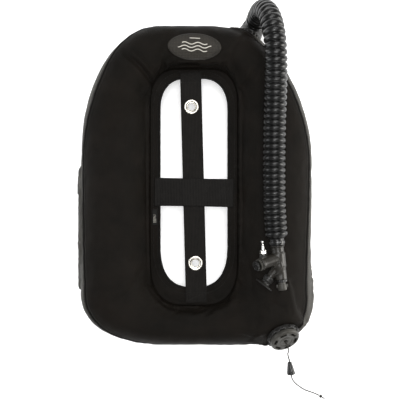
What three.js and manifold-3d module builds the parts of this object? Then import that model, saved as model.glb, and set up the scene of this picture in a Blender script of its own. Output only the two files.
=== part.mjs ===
// A diver's buoyancy wing: a ring-shaped air cell in a sewn nylon shell, with a webbing strap
// that bolts to a backplate, an inflator on a corrugated hose and a pull dump valve.
// Millimetres, +Z up. The wing lies on its back: +Y is the head end, +Z is the diver's side.
import * as THREE from "three";
import { mergeVertices } from "three/addons/utils/BufferGeometryUtils.js";
import Module from "manifold-3d";

const wasm = await Module();
wasm.setup();

// Shell plan, measured from the middle of the wing.
const wingWidth = 425;
const wingLength = 582;
const openingLeft = 81.5; // the tube's inner edge, left of the middle
const openingRight = 72.5;
const openingTop = 207;
const openingBottom = 214;
const topCornerHeight = 0.4364 * wingLength;
const bottomCornerHeight = 0.1804 * wingLength;
const roundCornerWidth = 0.4635 * wingWidth;
const topLeftCornerWidth = 0.367 * wingWidth;
const outerCorners = {
  bottomRight: { wide: roundCornerWidth, tall: bottomCornerHeight, power: 3 },
  topRight: { wide: roundCornerWidth, tall: topCornerHeight, power: 2.1 },
  topLeft: { wide: topLeftCornerWidth, tall: topCornerHeight, power: 2.2 },
  bottomLeft: { wide: roundCornerWidth, tall: bottomCornerHeight, power: 2.6 },
};
const innerCorners = {
  bottomRight: { wide: 62, tall: 80, power: 2.6 },
  topRight: { wide: 50, tall: 60, power: 2.4 },
  topLeft: { wide: 50, tall: 60, power: 2.4 },
  bottomLeft: { wide: 62, tall: 80, power: 2.6 },
};

// Inflated tube.
const seamHeight = 55; // the middle plane above the floor
const sideHalfThickness = 58;
const endHalfThickness = 47;
const sectionPower = 2.3;
const fabricThickness = 1.6;
const bladderGap = 6;
const bladderWall = 1.2;
const sideSeamAngle = THREE.MathUtils.degToRad(44);
const seamHalfGap = 0.045; // radians of the section
const pipingRadius = 1.4;
const pipingSides = 6;
const cornerSteps = 8;
const sideSteps = 3;
const panelSteps = 9;

// Sewn flange round the opening.
const flangeThickness = 3.2;
const flangeTuck = 1.2; // how far it reaches in between the panels
const flangeSide = 15;
const flangeTop = 14;
const flangeBottom = 30;
const flangeClearance = 0.5;
const bindingWidth = 4;
const bindingThickness = 4.4;
const fit = 0.3; // the gap between touching pieces
const cutOverrun = 1; // how far a cutter passes the face it opens
const weldDistance = 1e-4;

// Webbing.
const webbingWidth = 38;
const webbingThickness = 2.2;
const strapTilt = THREE.MathUtils.degToRad(1.48);
const strapMiddle = new THREE.Vector2(-5.4, 0.9);
const strapEndInset = 5;
const boltSpacing = 279.4;
const boltHoleRadius = 6.35;
const grommetRadius = 13;
const grommetBarrel = 1;
const grommetThickness = 1.1;
const grommetRimEase = 0.5; // how far the rim and the throat are eased at the top
const grommetThroatEase = 0.4;
const elasticWidth = 50.8;
const elasticThickness = 1.8;
const elasticMiddle = new THREE.Vector2(-4.5, -12.5);
const elasticLength = 141;
const elasticTilt = THREE.MathUtils.degToRad(-1);

// Badge and care label.
const badgeWidth = 0.219 * wingWidth;
const badgeHeight = 45;
const badgeMiddle = new THREE.Vector2(-3.2, 241.4);
const badgeTilt = THREE.MathUtils.degToRad(-2);
const badgeThickness = 1.6;
const badgeSteps = 28;
const labelWidth = 9;
const labelLength = 28;
const labelThickness = 0.6;
const labelHeight = -56.5;

// Bladder access zipper on the left side, just under the middle plane.
const zipperLength = 190;
const zipperTop = 18;
const zipperTapeThickness = 0.9;
const zipperTapeFrom = THREE.MathUtils.degToRad(-8);
const zipperTapeTo = THREE.MathUtils.degToRad(-30);
const zipperCoilWidth = 5;
const zipperCoilHeight = 1.8;
const sliderLength = 13;
const sliderWidth = 8.4;
const sliderWall = 1.2;
const sliderLipGap = 0.5; // under the slider's two lips
const pullLength = 26;
const pullWidth = 6;
const pullThickness = 1.4;
const pullOverlap = 5; // how far the pull reaches up over the slider

// Valve seats, each on the point of the shell that reaches furthest along its axis.
const portAxis = new THREE.Vector3(0.42, 0.83, -0.33).normalize();
const dumpAxis = new THREE.Vector3(0.3, -0.68, 0.67).normalize();
const seatDepth = 7; // how far the shell is pressed flat there
const stubRadius = 17.5;
const stubBore = 14;
const innerFlangeRadius = 21;
const innerFlangeThickness = 2.5;
const innerFlangeDrop = 11;
const gasketRadius = 25;
const gasketThickness = 1.5;
const gasketLift = 0.4;
const roundSteps = 20;

// Elbow.
const portRingRadius = 26;
const portRingHeight = 6.8;
const portStubSetback = 1; // the stub ends this far under the ring's top
const knurlCount = 24;
const knurlDepth = 1.2;
const elbowHeight = 28; // seat to the outlet's axis
const elbowBaseRadius = 23;
const elbowDomeRadius = 20;
const elbowRimHeight = 3;
const elbowShoulderFlare = 1.6;
const elbowShoulderDrop = 8; // under the outlet's axis
const elbowDomeInset = 0.5;
const elbowDomeRise = 2; // over the outlet's axis
const domeBands = 12;
const bendBands = 8;
const elbowBore = 11;
const elbowNeckRadius = 17;
const elbowNeckLength = 24;
const elbowBarbRadius = 14.4;
const elbowBarbLength = 15;

// Hose, ties and cord.
const hoseRadius = 19.2;
const cuffWall = 2.4;
const hoseSides = 12;
const hoseSteps = 40;
const tieThickness = 1.5;
const tieWidth = 4;
const tieHead = 6;
const tieHeadThickness = 3;
const tieHeadOverhang = 1; // wider than the band, and this far proud of it
const lowerTieRise = 1.5; // from the foot of the inflator's barb
const cordRadius = 1;
const cordSides = 8;
const cordSteps = 60;
const toggleRadius = 7.4;
const toggleTipRadius = 3.4;
const toggleLength = 24;
const toggleEndLength = 4;
const toggleEndInset = 1.4;
const toggleSteps = 16;
const knotRadius = 2.9;
const knotTail = 6;
const knotSteps = 12;
const knotBands = 8;

// Dump valve, heights above its seat.
const dumpBaseRadius = 27;
const dumpLugRadius = 29.4;
const dumpLugCount = 10;
const dumpBaseHeight = 7.3;
const dumpFloorThickness = 1.7;
const dumpPortRadius = 9;
const dumpChamberRadius = 22.6;
const dumpDiscRadius = 12.5;
const dumpDiscThickness = 2;
const dumpStemRadius = 2.2;
const dumpStemLength = 2.7;
const dumpStubRise = 1; // the stub's top above the base's foot
const dumpSpringRadius = 8;
const dumpSpringTurns = 2.5;
const dumpCapRadius = 26;
const dumpCapHeight = 8;
const dumpCapRoof = 2.6;
const dumpCapChamfer = 2.4;
const dumpCordHole = 3.2;
const dumpSlotCount = 6;
const dumpSlotWidth = 5;
const dumpSlotLength = 12;
const dumpSlotCut = 7.8;
const dumpSlotInset = 6; // from the cap's edge to the middle of a slot
const springWire = 0.45;
const springSides = 5;
const springTurnSteps = 9;

// Inflator, measured down its own axis from the end of the hose.
const inflatorTilt = THREE.MathUtils.degToRad(5);
const inflatorLift = 18; // its axis above the front of the wing
const inflatorTop = new THREE.Vector3(136.6, -88.4, seamHeight + sideHalfThickness + inflatorLift);
const barbRadius = 9.5;
const barbLength = 15;
const collarRadius = 12.2;
const collarLength = 2.2;
const neckRadius = 10.4;
const neckLength = 8;
const bodyRadius = 12;
const bodyFootRadius = 9;
const bodyLength = 48;
const bodyFootLength = 8;
const bodyTaperEnd = 24; // from the foot
const neckTaper = 3;
const airwayRadius = 4.6;
const exhaustOffset = 2;
const exhaustHousingRadius = 9.2;
const exhaustHousingLength = 18;
const exhaustBoreRadius = 7;
const exhaustBoreDepth = 14;
const exhaustBezelRadius = 9.2;
const exhaustBezelHeight = 3.4;
const exhaustTravel = 4;
const exhaustStemRadius = 6.5;
const exhaustStemDepth = 3;
const exhaustSpringRadius = 4.8;
const exhaustCapRadius = 7.9;
const exhaustCapHeight = 10;
const exhaustSealThickness = 1.5;
const housingStart = 36; // where the inflate valve's axis leaves the body's axis
const housingAxis = new THREE.Vector3(-0.87, -0.2, 0.45).normalize();
const housingLength = 38;
const housingRadius = 9.8;
const housingRootRadius = 11;
const housingTaperShare = 0.7;
const inflateBoreRadius = 7;
const inflateBoreDepth = 13;
const inflateBezelRadius = 10.3;
const inflateBezelHeight = 3;
const inflateTravel = 3;
const inflateStemRadius = 6.4;
const inflateStemDepth = 4.5;
const inflateSpringRadius = 4.6;
const buttonSpringTurns = 3.5;
const buttonChamfer = 1.2;
const inflateHeadRadius = 8.6;
const inflateHeadHeight = 3.4;
const bossOffset = -24.5;
const bossTop = 27;
const bossFoot = 44;
const bossRadius = 7.6;
const nippleFlangeRadius = 6;
const nippleHexRadius = 6.6;
const nippleStemRadius = 2.9;
const nippleGrooveRadius = 2.2;
const nippleLength = 22;
const nippleHexLength = 4.6;
const nippleFlangeThickness = 1.8;
const nippleGrooveStart = 8; // both from the tip
const nippleGrooveEnd = 4;
const nippleGrooveSlope = 1;
const nippleBore = 1.2;
const armStart = 49;
const armAxis = new THREE.Vector3(-0.68, -0.733, 0).normalize();
const armRadius = 6.6;
const armLength = 33;
const mouthpieceLength = 18;
const mouthpieceSleeveRadius = 8.9;
const mouthpieceNeckRadius = 7.4;
const mouthpieceFlangeRadius = 17;
const mouthpieceFlangeThickness = 2.6;
const mouthpieceFlangeTaper = 1;
const mouthpieceSleeveTaper = 1.5;
const mouthpieceSeatInset = 0.5;

// Centre line of the hose, from the elbow over the shoulder and down the front of the wing.
const hosePoints = [
  [108.6, 298.1, 60.2],
  [110.6, 301.9, 72.2],
  [113.4, 304, 92],
  [117, 301.5, 112],
  [120.8, 293.5, 131],
  [124.6, 280.8, 147],
  [127.8, 264.5, 158.5],
  [130.3, 245.5, 164.5],
  [132, 225, 165],
  [133.1, 204, 161],
  [133.6, 182, 154.5],
  [133.6, 158, 147],
  [133.4, 132, 140.5],
  [133, 104, 136],
  [132.6, 72, 133.8],
  [132.4, 38, 133],
  [132.4, 4, 133],
  [132.8, -28, 133],
  [133.9, -52, 132.2],
  [135.3, -73.5, 131],
  [136.6, -88.4, 131],
];

// Centre line of the dump cord, from the valve's stem over the cap and along the floor.
const cordPoints = [
  [152.9, -266.9, 95.8],
  [154.2, -270, 98.8],
  [155.7, -273.4, 102.1],
  [157.8, -278.6, 102.2],
  [160.3, -285.5, 94.5],
  [162.4, -291.4, 82],
  [163.7, -296, 66],
  [164.8, -300.8, 48],
  [166.2, -306, 31],
  [167.8, -311, 18.5],
  [169.5, -316, 10],
  [171.2, -321, 6.2],
  [172, -325.4, 5.4],
  [175, -349.2, 7.9],
  [175.6, -353.2, 8],
  [177.2, -357.5, 6.4],
  [180.2, -362.2, 3.6],
  [184.6, -366.8, 1.8],
  [190.5, -371.5, 1.4],
  [199.9, -377.4, 1.4],
  [210.7, -381.5, 1.4],
  [220.2, -384.9, 1.6],
  [227, -388, 2.9],
];
const toggleTip = new THREE.Vector3(172, -325.4, 5.4);
const toggleEnd = new THREE.Vector3(175, -349.2, 7.9);
const knotMiddle = new THREE.Vector3(229.9, -389.3, 3.2);
const tailDirection = new THREE.Vector3(0.82, -0.56, -0.1).normalize();

const up = new THREE.Vector3(0, 0, 1);
const yAxis = new THREE.Vector3(0, 1, 0);

function material(color, roughness, metalness = 0) {
  return new THREE.MeshStandardMaterial({ color, roughness, metalness });
}

const blackNylon = material(0x211e1a, 0.85);
const greyNylon = material(0x45443e, 0.85);
const blackWebbing = material(0x1c1a18, 0.8);
const blackBinding = material(0x161513, 0.8);
const bladderFilm = material(0x2c3440, 0.4);
const nickel = material(0xd9d7d2, 0.25, 1);
const springSteel = material(0xb9b9b6, 0.35, 1);
const badgeRubber = material(0x3b372f, 0.6);
const labelCloth = material(0x15130f, 0.7);
const hoseRubber = material(0x161614, 0.55);
const blackPlastic = material(0x24231f, 0.45);
const greyPlastic = material(0x5f5e5a, 0.5);
const sealRubber = material(0x2b2b2b, 0.7);
const cordNylon = material(0x2e2d2b, 0.75);

function addMesh(parent, name, geometry, look) {
  const mesh = new THREE.Mesh(geometry, look);
  mesh.name = name;
  parent.add(mesh);
  return mesh;
}

function toSolid(geometry) {
  const bare = geometry.clone();
  bare.deleteAttribute("normal");
  bare.deleteAttribute("uv");
  const merged = mergeVertices(bare, weldDistance);
  return new wasm.Manifold(
    new wasm.Mesh({
      numProp: 3,
      vertProperties: new Float32Array(merged.attributes.position.array),
      triVerts: new Uint32Array(merged.index.array),
    }),
  );
}

function toGeometry(solid) {
  const mesh = solid.getMesh();
  const geometry = new THREE.BufferGeometry();
  geometry.setAttribute("position", new THREE.BufferAttribute(mesh.vertProperties, 3));
  geometry.setIndex(new THREE.BufferAttribute(mesh.triVerts, 1));
  geometry.computeVertexNormals();
  return geometry;
}

// A turned piece along +Y. Its profile runs round the outside from the foot to the top.
function turned(profile, steps = roundSteps) {
  const points = profile.map(([radius, height]) => new THREE.Vector2(radius, height));
  return new THREE.LatheGeometry(points, steps);
}

// A turned ring between two radii and two heights.
function turnedRing(innerRadius, outerRadius, foot, top, steps = roundSteps) {
  return turned(
    [
      [innerRadius, foot],
      [outerRadius, foot],
      [outerRadius, top],
      [innerRadius, top],
      [innerRadius, foot],
    ],
    steps,
  );
}

function turnedPlug(radius, foot, top, steps = roundSteps) {
  return turned(
    [
      [0, foot],
      [radius, foot],
      [radius, top],
      [0, top],
    ],
    steps,
  );
}

// Turns a geometry made along +Y to lie along a direction from a point.
function aimed(geometry, direction, point = new THREE.Vector3()) {
  const turn = new THREE.Quaternion().setFromUnitVectors(yAxis, direction);
  const moved = geometry.clone();
  moved.applyQuaternion(turn);
  moved.translate(point.x, point.y, point.z);
  return moved;
}

// ---- Outlines and section of the air tube ----

function outlinePoints(left, right, bottom, top, corners, steps = cornerSteps) {
  const order = [
    { corner: corners.bottomRight, start: -90, x: right, y: bottom, sx: 1, sy: -1 },
    { corner: corners.topRight, start: 0, x: right, y: top, sx: 1, sy: 1 },
    { corner: corners.topLeft, start: 90, x: left, y: top, sx: -1, sy: 1 },
    { corner: corners.bottomLeft, start: 180, x: left, y: bottom, sx: -1, sy: -1 },
  ];
  const arcs = order.map(({ corner, start, x, y, sx, sy }) => {
    const middle = new THREE.Vector2(x - sx * corner.wide, y - sy * corner.tall);
    const arc = [];
    for (let step = 0; step <= steps; step += 1) {
      const angle = THREE.MathUtils.degToRad(start + (90 * step) / steps);
      const across = Math.abs(Math.cos(angle)) ** (2 / corner.power);
      const along = Math.abs(Math.sin(angle)) ** (2 / corner.power);
      arc.push(
        new THREE.Vector2(middle.x + sx * corner.wide * across, middle.y + sy * corner.tall * along),
      );
    }
    return arc;
  });
  const points = [];
  arcs.forEach((arc, index) => {
    const next = arcs[(index + 1) % arcs.length];
    points.push(...arc);
    for (let step = 1; step < sideSteps; step += 1) {
      points.push(arc[steps].clone().lerp(next[0], step / sideSteps));
    }
  });
  return points;
}

// The stations round the ring: each has its middle, its direction outwards and its half sizes.
function makeStations(steps) {
  const outerOutline = outlinePoints(
    -wingWidth / 2,
    wingWidth / 2,
    -wingLength / 2,
    wingLength / 2,
    outerCorners,
    steps,
  );
  const innerOutline = outlinePoints(
    -openingLeft,
    openingRight,
    -openingBottom,
    openingTop,
    innerCorners,
    steps,
  );
  return outerOutline.map((outer, index) => {
    const inner = innerOutline[index];
    const outward = outer.clone().sub(inner);
    const halfWidth = outward.length() / 2;
    outward.normalize();
    const sideShare = outward.x * outward.x;
    return {
      middle: outer.clone().add(inner).multiplyScalar(0.5),
      outward,
      halfWidth,
      halfThickness: endHalfThickness + (sideHalfThickness - endHalfThickness) * sideShare,
      seamAngle: sideSeamAngle * sideShare,
    };
  });
}

const stations = makeStations(cornerSteps);

function signedPower(value, power) {
  return Math.sign(value) * Math.abs(value) ** power;
}

// A point of the tube's section at an angle: 0 is the outer edge, 90 degrees the front.
function tubePoint(station, angle, inset) {
  const reach = (station.halfWidth - inset) * signedPower(Math.cos(angle), 2 / sectionPower);
  const rise = (station.halfThickness - inset) * signedPower(Math.sin(angle), 2 / sectionPower);
  return new THREE.Vector3(
    station.middle.x + station.outward.x * reach,
    station.middle.y + station.outward.y * reach,
    Math.max(seamHeight + rise, inset),
  );
}

function furthestPoint(direction) {
  const searchSteps = 180;
  const fineStations = makeStations(searchSteps);
  let best = tubePoint(fineStations[0], 0, 0);
  for (const station of fineStations) {
    for (let step = 0; step < searchSteps; step += 1) {
      const point = tubePoint(station, (2 * Math.PI * step) / searchSteps, 0);
      if (point.dot(direction) > best.dot(direction)) {
        best = point;
      }
    }
  }
  return best;
}

const seats = [portAxis, dumpAxis].map((axis) => ({
  axis,
  point: furthestPoint(axis).addScaledVector(axis, -seatDepth),
}));
const [portSeat, dumpSeat] = seats;

// Presses a point flat under the valve seats.
function pressed(point, inset) {
  for (const seat of seats) {
    const proud = point.clone().sub(seat.point).dot(seat.axis) + inset;
    if (proud > 0) {
      point.addScaledVector(seat.axis, -proud);
    }
  }
  return point;
}

// A closed ring made of one loop of points at each station.
function ringGeometry(loopAt) {
  const loops = stations.map(loopAt);
  const size = loops[0].length;
  const positions = loops.flat().flatMap((point) => point.toArray());
  const faces = [];
  for (let ring = 0; ring < loops.length; ring += 1) {
    const next = (ring + 1) % loops.length;
    for (let step = 0; step < size; step += 1) {
      const following = (step + 1) % size;
      const here = ring * size;
      const there = next * size;
      faces.push(here + step, there + step, there + following);
      faces.push(here + step, there + following, here + following);
    }
  }
  const geometry = new THREE.BufferGeometry();
  geometry.setAttribute("position", new THREE.Float32BufferAttribute(positions, 3));
  geometry.setIndex(faces);
  return geometry;
}

function arcOfTube(station, from, to, inset, steps) {
  const points = [];
  for (let step = 0; step <= steps; step += 1) {
    const angle = from + ((to - from) * step) / steps;
    points.push(pressed(tubePoint(station, angle, inset), inset));
  }
  return points;
}

// A sheet between two angles and two depths under the shell's outside.
function sheetLoop(station, from, to, outsideInset, insideInset) {
  const outside = arcOfTube(station, from, to, outsideInset, panelSteps);
  const inside = arcOfTube(station, from, to, insideInset, panelSteps);
  return [...outside, ...inside.reverse()];
}

// Half the angle that the flange takes at the tube's inner edge.
function flangeHalfAngle(station) {
  const halfGap = flangeThickness / 2 + flangeClearance;
  return (halfGap / (station.halfThickness - fabricThickness)) ** (sectionPower / 2);
}

function withValveHoles(geometry, radius = stubRadius + fit) {
  const hole = turnedPlug(radius, -3 * seatDepth, seatDepth);
  let solid = toSolid(geometry);
  for (const seat of seats) {
    solid = solid.subtract(toSolid(aimed(hole, seat.axis, seat.point)));
  }
  return toGeometry(solid);
}

function frontSheet(outsideInset, insideInset) {
  return ringGeometry((station) => {
    const from = station.seamAngle + seamHalfGap;
    const to = Math.PI - flangeHalfAngle(station);
    return sheetLoop(station, from, to, outsideInset, insideInset);
  });
}

function frontPanelGeometry() {
  return withValveHoles(frontSheet(0, fabricThickness));
}

function backPanelGeometry() {
  return withValveHoles(
    ringGeometry((station) => {
      const from = flangeHalfAngle(station) - Math.PI;
      const to = station.seamAngle - seamHalfGap;
      return sheetLoop(station, from, to, 0, fabricThickness);
    }),
  );
}

function bladderLoop(station, inset) {
  const front = arcOfTube(station, station.seamAngle, Math.PI, inset, panelSteps);
  const back = arcOfTube(station, -Math.PI, station.seamAngle, inset, panelSteps);
  return [...front, ...back.slice(1, -1)];
}

// The bladder's film ends all round the flanges welded inside it.
function bladderGeometry() {
  const outsideInset = fabricThickness + bladderGap;
  const outside = toSolid(ringGeometry((station) => bladderLoop(station, outsideInset)));
  const inside = toSolid(
    ringGeometry((station) => bladderLoop(station, outsideInset + bladderWall)),
  );
  return withValveHoles(toGeometry(outside.subtract(inside)), innerFlangeRadius + fit);
}

// The piping stops at each valve that sits on the seam.
function pipingGeometry() {
  const ring = ringGeometry((station) => {
    const middle = pressed(tubePoint(station, station.seamAngle, 0), pipingRadius);
    const loop = [];
    for (let side = 0; side < pipingSides; side += 1) {
      const angle = (2 * Math.PI * side) / pipingSides;
      const point = middle.clone();
      point.x += station.outward.x * pipingRadius * Math.cos(angle);
      point.y += station.outward.y * pipingRadius * Math.cos(angle);
      point.z += pipingRadius * Math.sin(angle);
      loop.push(point);
    }
    return loop;
  });
  return withValveHoles(ring);
}

// ---- Flange and straps in the opening ----

function roundedPath(PathClass, left, right, bottom, top, corners, grow) {
  const scaled = {};
  for (const [name, corner] of Object.entries(corners)) {
    scaled[name] = {
      wide: corner.wide + grow,
      tall: corner.tall + grow,
      power: corner.power,
    };
  }
  return new PathClass(
    outlinePoints(left - grow, right + grow, bottom - grow, top + grow, scaled),
  );
}

const clearLeft = -openingLeft + flangeSide;
const clearRight = openingRight - flangeSide;
const clearTop = openingTop - flangeTop;
const clearBottom = -openingBottom + flangeBottom;

function clearPath(PathClass, grow) {
  return roundedPath(PathClass, clearLeft, clearRight, clearBottom, clearTop, innerCorners, grow);
}

function plateGeometry(shape, thickness, middleHeight) {
  const geometry = new THREE.ExtrudeGeometry(shape, {
    depth: thickness,
    bevelEnabled: false,
  });
  geometry.translate(0, 0, middleHeight - thickness / 2);
  return geometry;
}

function flangeGeometry() {
  const shape = roundedPath(
    THREE.Shape,
    -openingLeft,
    openingRight,
    -openingBottom,
    openingTop,
    innerCorners,
    flangeTuck,
  );
  shape.holes.push(clearPath(THREE.Path, bindingWidth / 2 + fit));
  return plateGeometry(shape, flangeThickness, seamHeight);
}

function bindingGeometry() {
  const shape = clearPath(THREE.Shape, bindingWidth / 2);
  shape.holes.push(clearPath(THREE.Path, -bindingWidth / 2));
  return plateGeometry(shape, bindingThickness, seamHeight);
}

const strapFoot = seamHeight + bindingThickness / 2 + fit;
const strapTop = strapFoot + webbingThickness;
const elasticFoot = strapTop + fit;

function circlePath(PathClass, radius, x, y) {
  const path = new PathClass();
  path.absarc(x, y, radius, 0, 2 * Math.PI);
  return path;
}

function rectangle(width, height) {
  const shape = new THREE.Shape();
  shape.moveTo(-width / 2, -height / 2);
  shape.lineTo(width / 2, -height / 2);
  shape.lineTo(width / 2, height / 2);
  shape.lineTo(-width / 2, height / 2);
  return shape;
}

const strapLength = openingTop + openingBottom - 2 * strapEndInset;
const strapCentre = (openingTop - openingBottom) / 2 - strapMiddle.y;

function centerStrapGeometry() {
  const shape = new THREE.Shape();
  const low = strapCentre - strapLength / 2;
  const high = strapCentre + strapLength / 2;
  shape.moveTo(-webbingWidth / 2, low);
  shape.lineTo(webbingWidth / 2, low);
  shape.lineTo(webbingWidth / 2, high);
  shape.lineTo(-webbingWidth / 2, high);
  for (const side of [-1, 1]) {
    const holeRadius = boltHoleRadius + grommetBarrel + fit;
    shape.holes.push(circlePath(THREE.Path, holeRadius, 0, (side * boltSpacing) / 2));
  }
  return plateGeometry(shape, webbingThickness, (strapFoot + strapTop) / 2);
}

// A grommet's flange on the front with its barrel down through the strap.
function grommetGeometry() {
  const geometry = turned([
    [boltHoleRadius, -webbingThickness - fit],
    [boltHoleRadius + grommetBarrel, -webbingThickness - fit],
    [boltHoleRadius + grommetBarrel, fit],
    [grommetRadius, fit],
    [grommetRadius - grommetRimEase, fit + grommetThickness],
    [boltHoleRadius + grommetThroatEase, fit + grommetThickness],
    [boltHoleRadius, fit + grommetThickness / 2],
    [boltHoleRadius, -webbingThickness - fit],
  ]);
  geometry.rotateX(Math.PI / 2);
  return geometry;
}

function grommetWasherGeometry() {
  const inner = boltHoleRadius + grommetBarrel + fit;
  const geometry = turnedRing(inner, grommetRadius, -fit - grommetThickness, -fit);
  geometry.rotateX(Math.PI / 2);
  return geometry;
}

function addStraps(parent) {
  const tilted = new THREE.Group();
  tilted.position.set(strapMiddle.x, strapMiddle.y, 0);
  tilted.rotation.z = strapTilt;
  parent.add(tilted);
  addMesh(tilted, "center_strap", centerStrapGeometry(), blackWebbing);
  for (const [place, side] of [
    ["upper", 1],
    ["lower", -1],
  ]) {
    const grommet = addMesh(tilted, `${place}_grommet`, grommetGeometry(), nickel);
    grommet.position.set(0, (side * boltSpacing) / 2, strapTop);
    const washer = addMesh(tilted, `${place}_grommet_washer`, grommetWasherGeometry(), nickel);
    washer.position.set(0, (side * boltSpacing) / 2, strapFoot);
  }
  const elastic = plateGeometry(
    rectangle(elasticLength, elasticWidth),
    elasticThickness,
    elasticFoot + elasticThickness / 2,
  );
  const cross = addMesh(parent, "cross_strap", elastic, blackWebbing);
  cross.position.set(elasticMiddle.x, elasticMiddle.y, 0);
  cross.rotation.z = elasticTilt;
}

// ---- Badge and label ----

// An oval patch that follows the curved front of the top arm.
function badgeGeometry() {
  const outline = new THREE.Shape();
  outline.absellipse(
    badgeMiddle.x,
    badgeMiddle.y,
    badgeWidth / 2,
    badgeHeight / 2,
    0,
    2 * Math.PI,
    false,
    badgeTilt,
  );
  const prism = new THREE.ExtrudeGeometry(outline, {
    depth: 2 * sideHalfThickness,
    bevelEnabled: false,
    curveSegments: badgeSteps,
  });
  prism.translate(0, 0, seamHeight);
  const cover = frontSheet(-fit - badgeThickness, -fit);
  return toGeometry(toSolid(cover).intersect(toSolid(prism)));
}

function addLabels(parent) {
  addMesh(parent, "badge", badgeGeometry(), badgeRubber);
  const label = new THREE.BoxGeometry(labelWidth, labelLength, labelThickness);
  const careLabel = addMesh(parent, "care_label", label, labelCloth);
  const flangeOuter = -openingLeft;
  const flangeInner = clearLeft - bindingWidth / 2;
  careLabel.position.set(
    (flangeOuter + flangeInner) / 2 + fit,
    labelHeight,
    seamHeight + flangeThickness / 2 + fit + labelThickness / 2,
  );
}

// ---- Zipper ----

// The left side's section, where the tube runs straight.
const sideStation = {
  middle: new THREE.Vector2(-(wingWidth / 2 + openingLeft) / 2, 0),
  outward: new THREE.Vector2(-1, 0),
  halfWidth: (wingWidth / 2 - openingLeft) / 2,
  halfThickness: sideHalfThickness,
};

// A bar of the given section along -Y, whose section is drawn in X and Z.
function barGeometry(points, length) {
  const shape = new THREE.Shape(points);
  const geometry = new THREE.ExtrudeGeometry(shape, { depth: length, bevelEnabled: false });
  geometry.rotateX(Math.PI / 2);
  return geometry;
}

function sideArc(from, to, inset, steps) {
  const arc = [];
  for (let step = 0; step <= steps; step += 1) {
    const point = tubePoint(sideStation, from + ((to - from) * step) / steps, inset);
    arc.push(new THREE.Vector2(point.x, point.z));
  }
  return arc;
}

function zipperTapeGeometry() {
  const steps = 5;
  const under = sideArc(zipperTapeFrom, zipperTapeTo, -fit, steps);
  const over = sideArc(zipperTapeFrom, zipperTapeTo, -fit - zipperTapeThickness, steps);
  return barGeometry([...over, ...under.reverse()], zipperLength);
}

// The zipper's chain lies along a line with its own outward direction.
const zipperAngle = (zipperTapeFrom + zipperTapeTo) / 2;
const zipperPoint = tubePoint(sideStation, zipperAngle, -fit - zipperTapeThickness);
const zipperNear = tubePoint(sideStation, zipperAngle - seamHalfGap, 0);
const zipperFar = tubePoint(sideStation, zipperAngle + seamHalfGap, 0);
const zipperLean = Math.atan2(zipperFar.x - zipperNear.x, zipperFar.z - zipperNear.z);

function addZipper(parent) {
  const tape = addMesh(parent, "zipper_tape", zipperTapeGeometry(), blackWebbing);
  tape.position.y = zipperTop;
  const chain = new THREE.Group();
  chain.position.set(zipperPoint.x, zipperTop, zipperPoint.z);
  chain.rotation.y = zipperLean;
  parent.add(chain);
  const coil = new THREE.BoxGeometry(zipperCoilHeight, zipperLength, zipperCoilWidth);
  const coilMesh = addMesh(chain, "zipper_coil", coil, blackBinding);
  const coilLift = fit + zipperCoilHeight / 2;
  coilMesh.position.set(-coilLift, -zipperLength / 2, 0);
  addMesh(chain, "zipper_slider", sliderGeometry(), springSteel);
  const pull = addMesh(chain, "zipper_pull", pullGeometry(), blackBinding);
  pull.position.set(-sliderTop - fit - pullThickness / 2, pullOverlap - sliderLength - pullLength / 2, 0);
}

const sliderTop = fit + zipperCoilHeight + fit + sliderWall;

// The slider's section wraps the coil from outside.
function sliderGeometry() {
  const half = sliderWidth / 2;
  const inside = zipperCoilWidth / 2 + fit;
  const lip = sliderLipGap;
  const roof = fit + zipperCoilHeight + fit;
  const section = [
    [-lip, -half],
    [-lip, -inside],
    [-roof, -inside],
    [-roof, inside],
    [-lip, inside],
    [-lip, half],
    [-sliderTop, half],
    [-sliderTop, -half],
  ].map(([x, z]) => new THREE.Vector2(x, z));
  const geometry = barGeometry(section, sliderLength);
  geometry.translate(0, -fit, 0);
  return geometry;
}

function pullGeometry() {
  return new THREE.BoxGeometry(pullThickness, pullLength, pullWidth);
}

// ---- Valve seats ----

// A group on a valve seat: +Y along the valve's axis and +Z as near upright as that leaves.
function seatGroup(parent, seat) {
  const upright = up.clone().addScaledVector(seat.axis, -seat.axis.z).normalize();
  const across = new THREE.Vector3().crossVectors(seat.axis, upright);
  const basis = new THREE.Matrix4().makeBasis(across, seat.axis, upright);
  const group = new THREE.Group();
  group.quaternion.setFromRotationMatrix(basis);
  group.position.copy(seat.point);
  parent.add(group);
  return group;
}

// The flange welded inside the bladder, with its threaded stub out through the shell.
function innerFlangeGeometry(stubTop) {
  const top = -innerFlangeDrop;
  const foot = top - innerFlangeThickness;
  return turned([
    [stubBore, foot],
    [innerFlangeRadius, foot],
    [innerFlangeRadius, top],
    [stubRadius, top],
    [stubRadius, stubTop],
    [stubBore, stubTop],
    [stubBore, foot],
  ]);
}

const gasketTop = gasketLift + gasketThickness;

function gasketGeometry() {
  return turnedRing(stubRadius + fit, gasketRadius, gasketTop - gasketThickness, gasketTop);
}

// A flat ring along +Y with an outline that steps in and out round its rim.
function lobedRingGeometry(outerRadius, lobeDepth, count, bore, foot, top) {
  const stepsPerLobe = 4;
  const points = [];
  for (let step = 0; step < count * stepsPerLobe; step += 1) {
    const angle = (2 * Math.PI * step) / (count * stepsPerLobe);
    const isOut = step % stepsPerLobe < stepsPerLobe / 2;
    const radius = isOut ? outerRadius : outerRadius - lobeDepth;
    points.push(new THREE.Vector2(radius * Math.cos(angle), radius * Math.sin(angle)));
  }
  const shape = new THREE.Shape(points);
  shape.holes.push(circlePath(THREE.Path, bore, 0, 0));
  const geometry = new THREE.ExtrudeGeometry(shape, {
    depth: top - foot,
    bevelEnabled: false,
    curveSegments: roundSteps,
  });
  geometry.rotateX(-Math.PI / 2);
  geometry.translate(0, foot, 0);
  return geometry;
}

const portRingTop = gasketTop + fit + portRingHeight;

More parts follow.
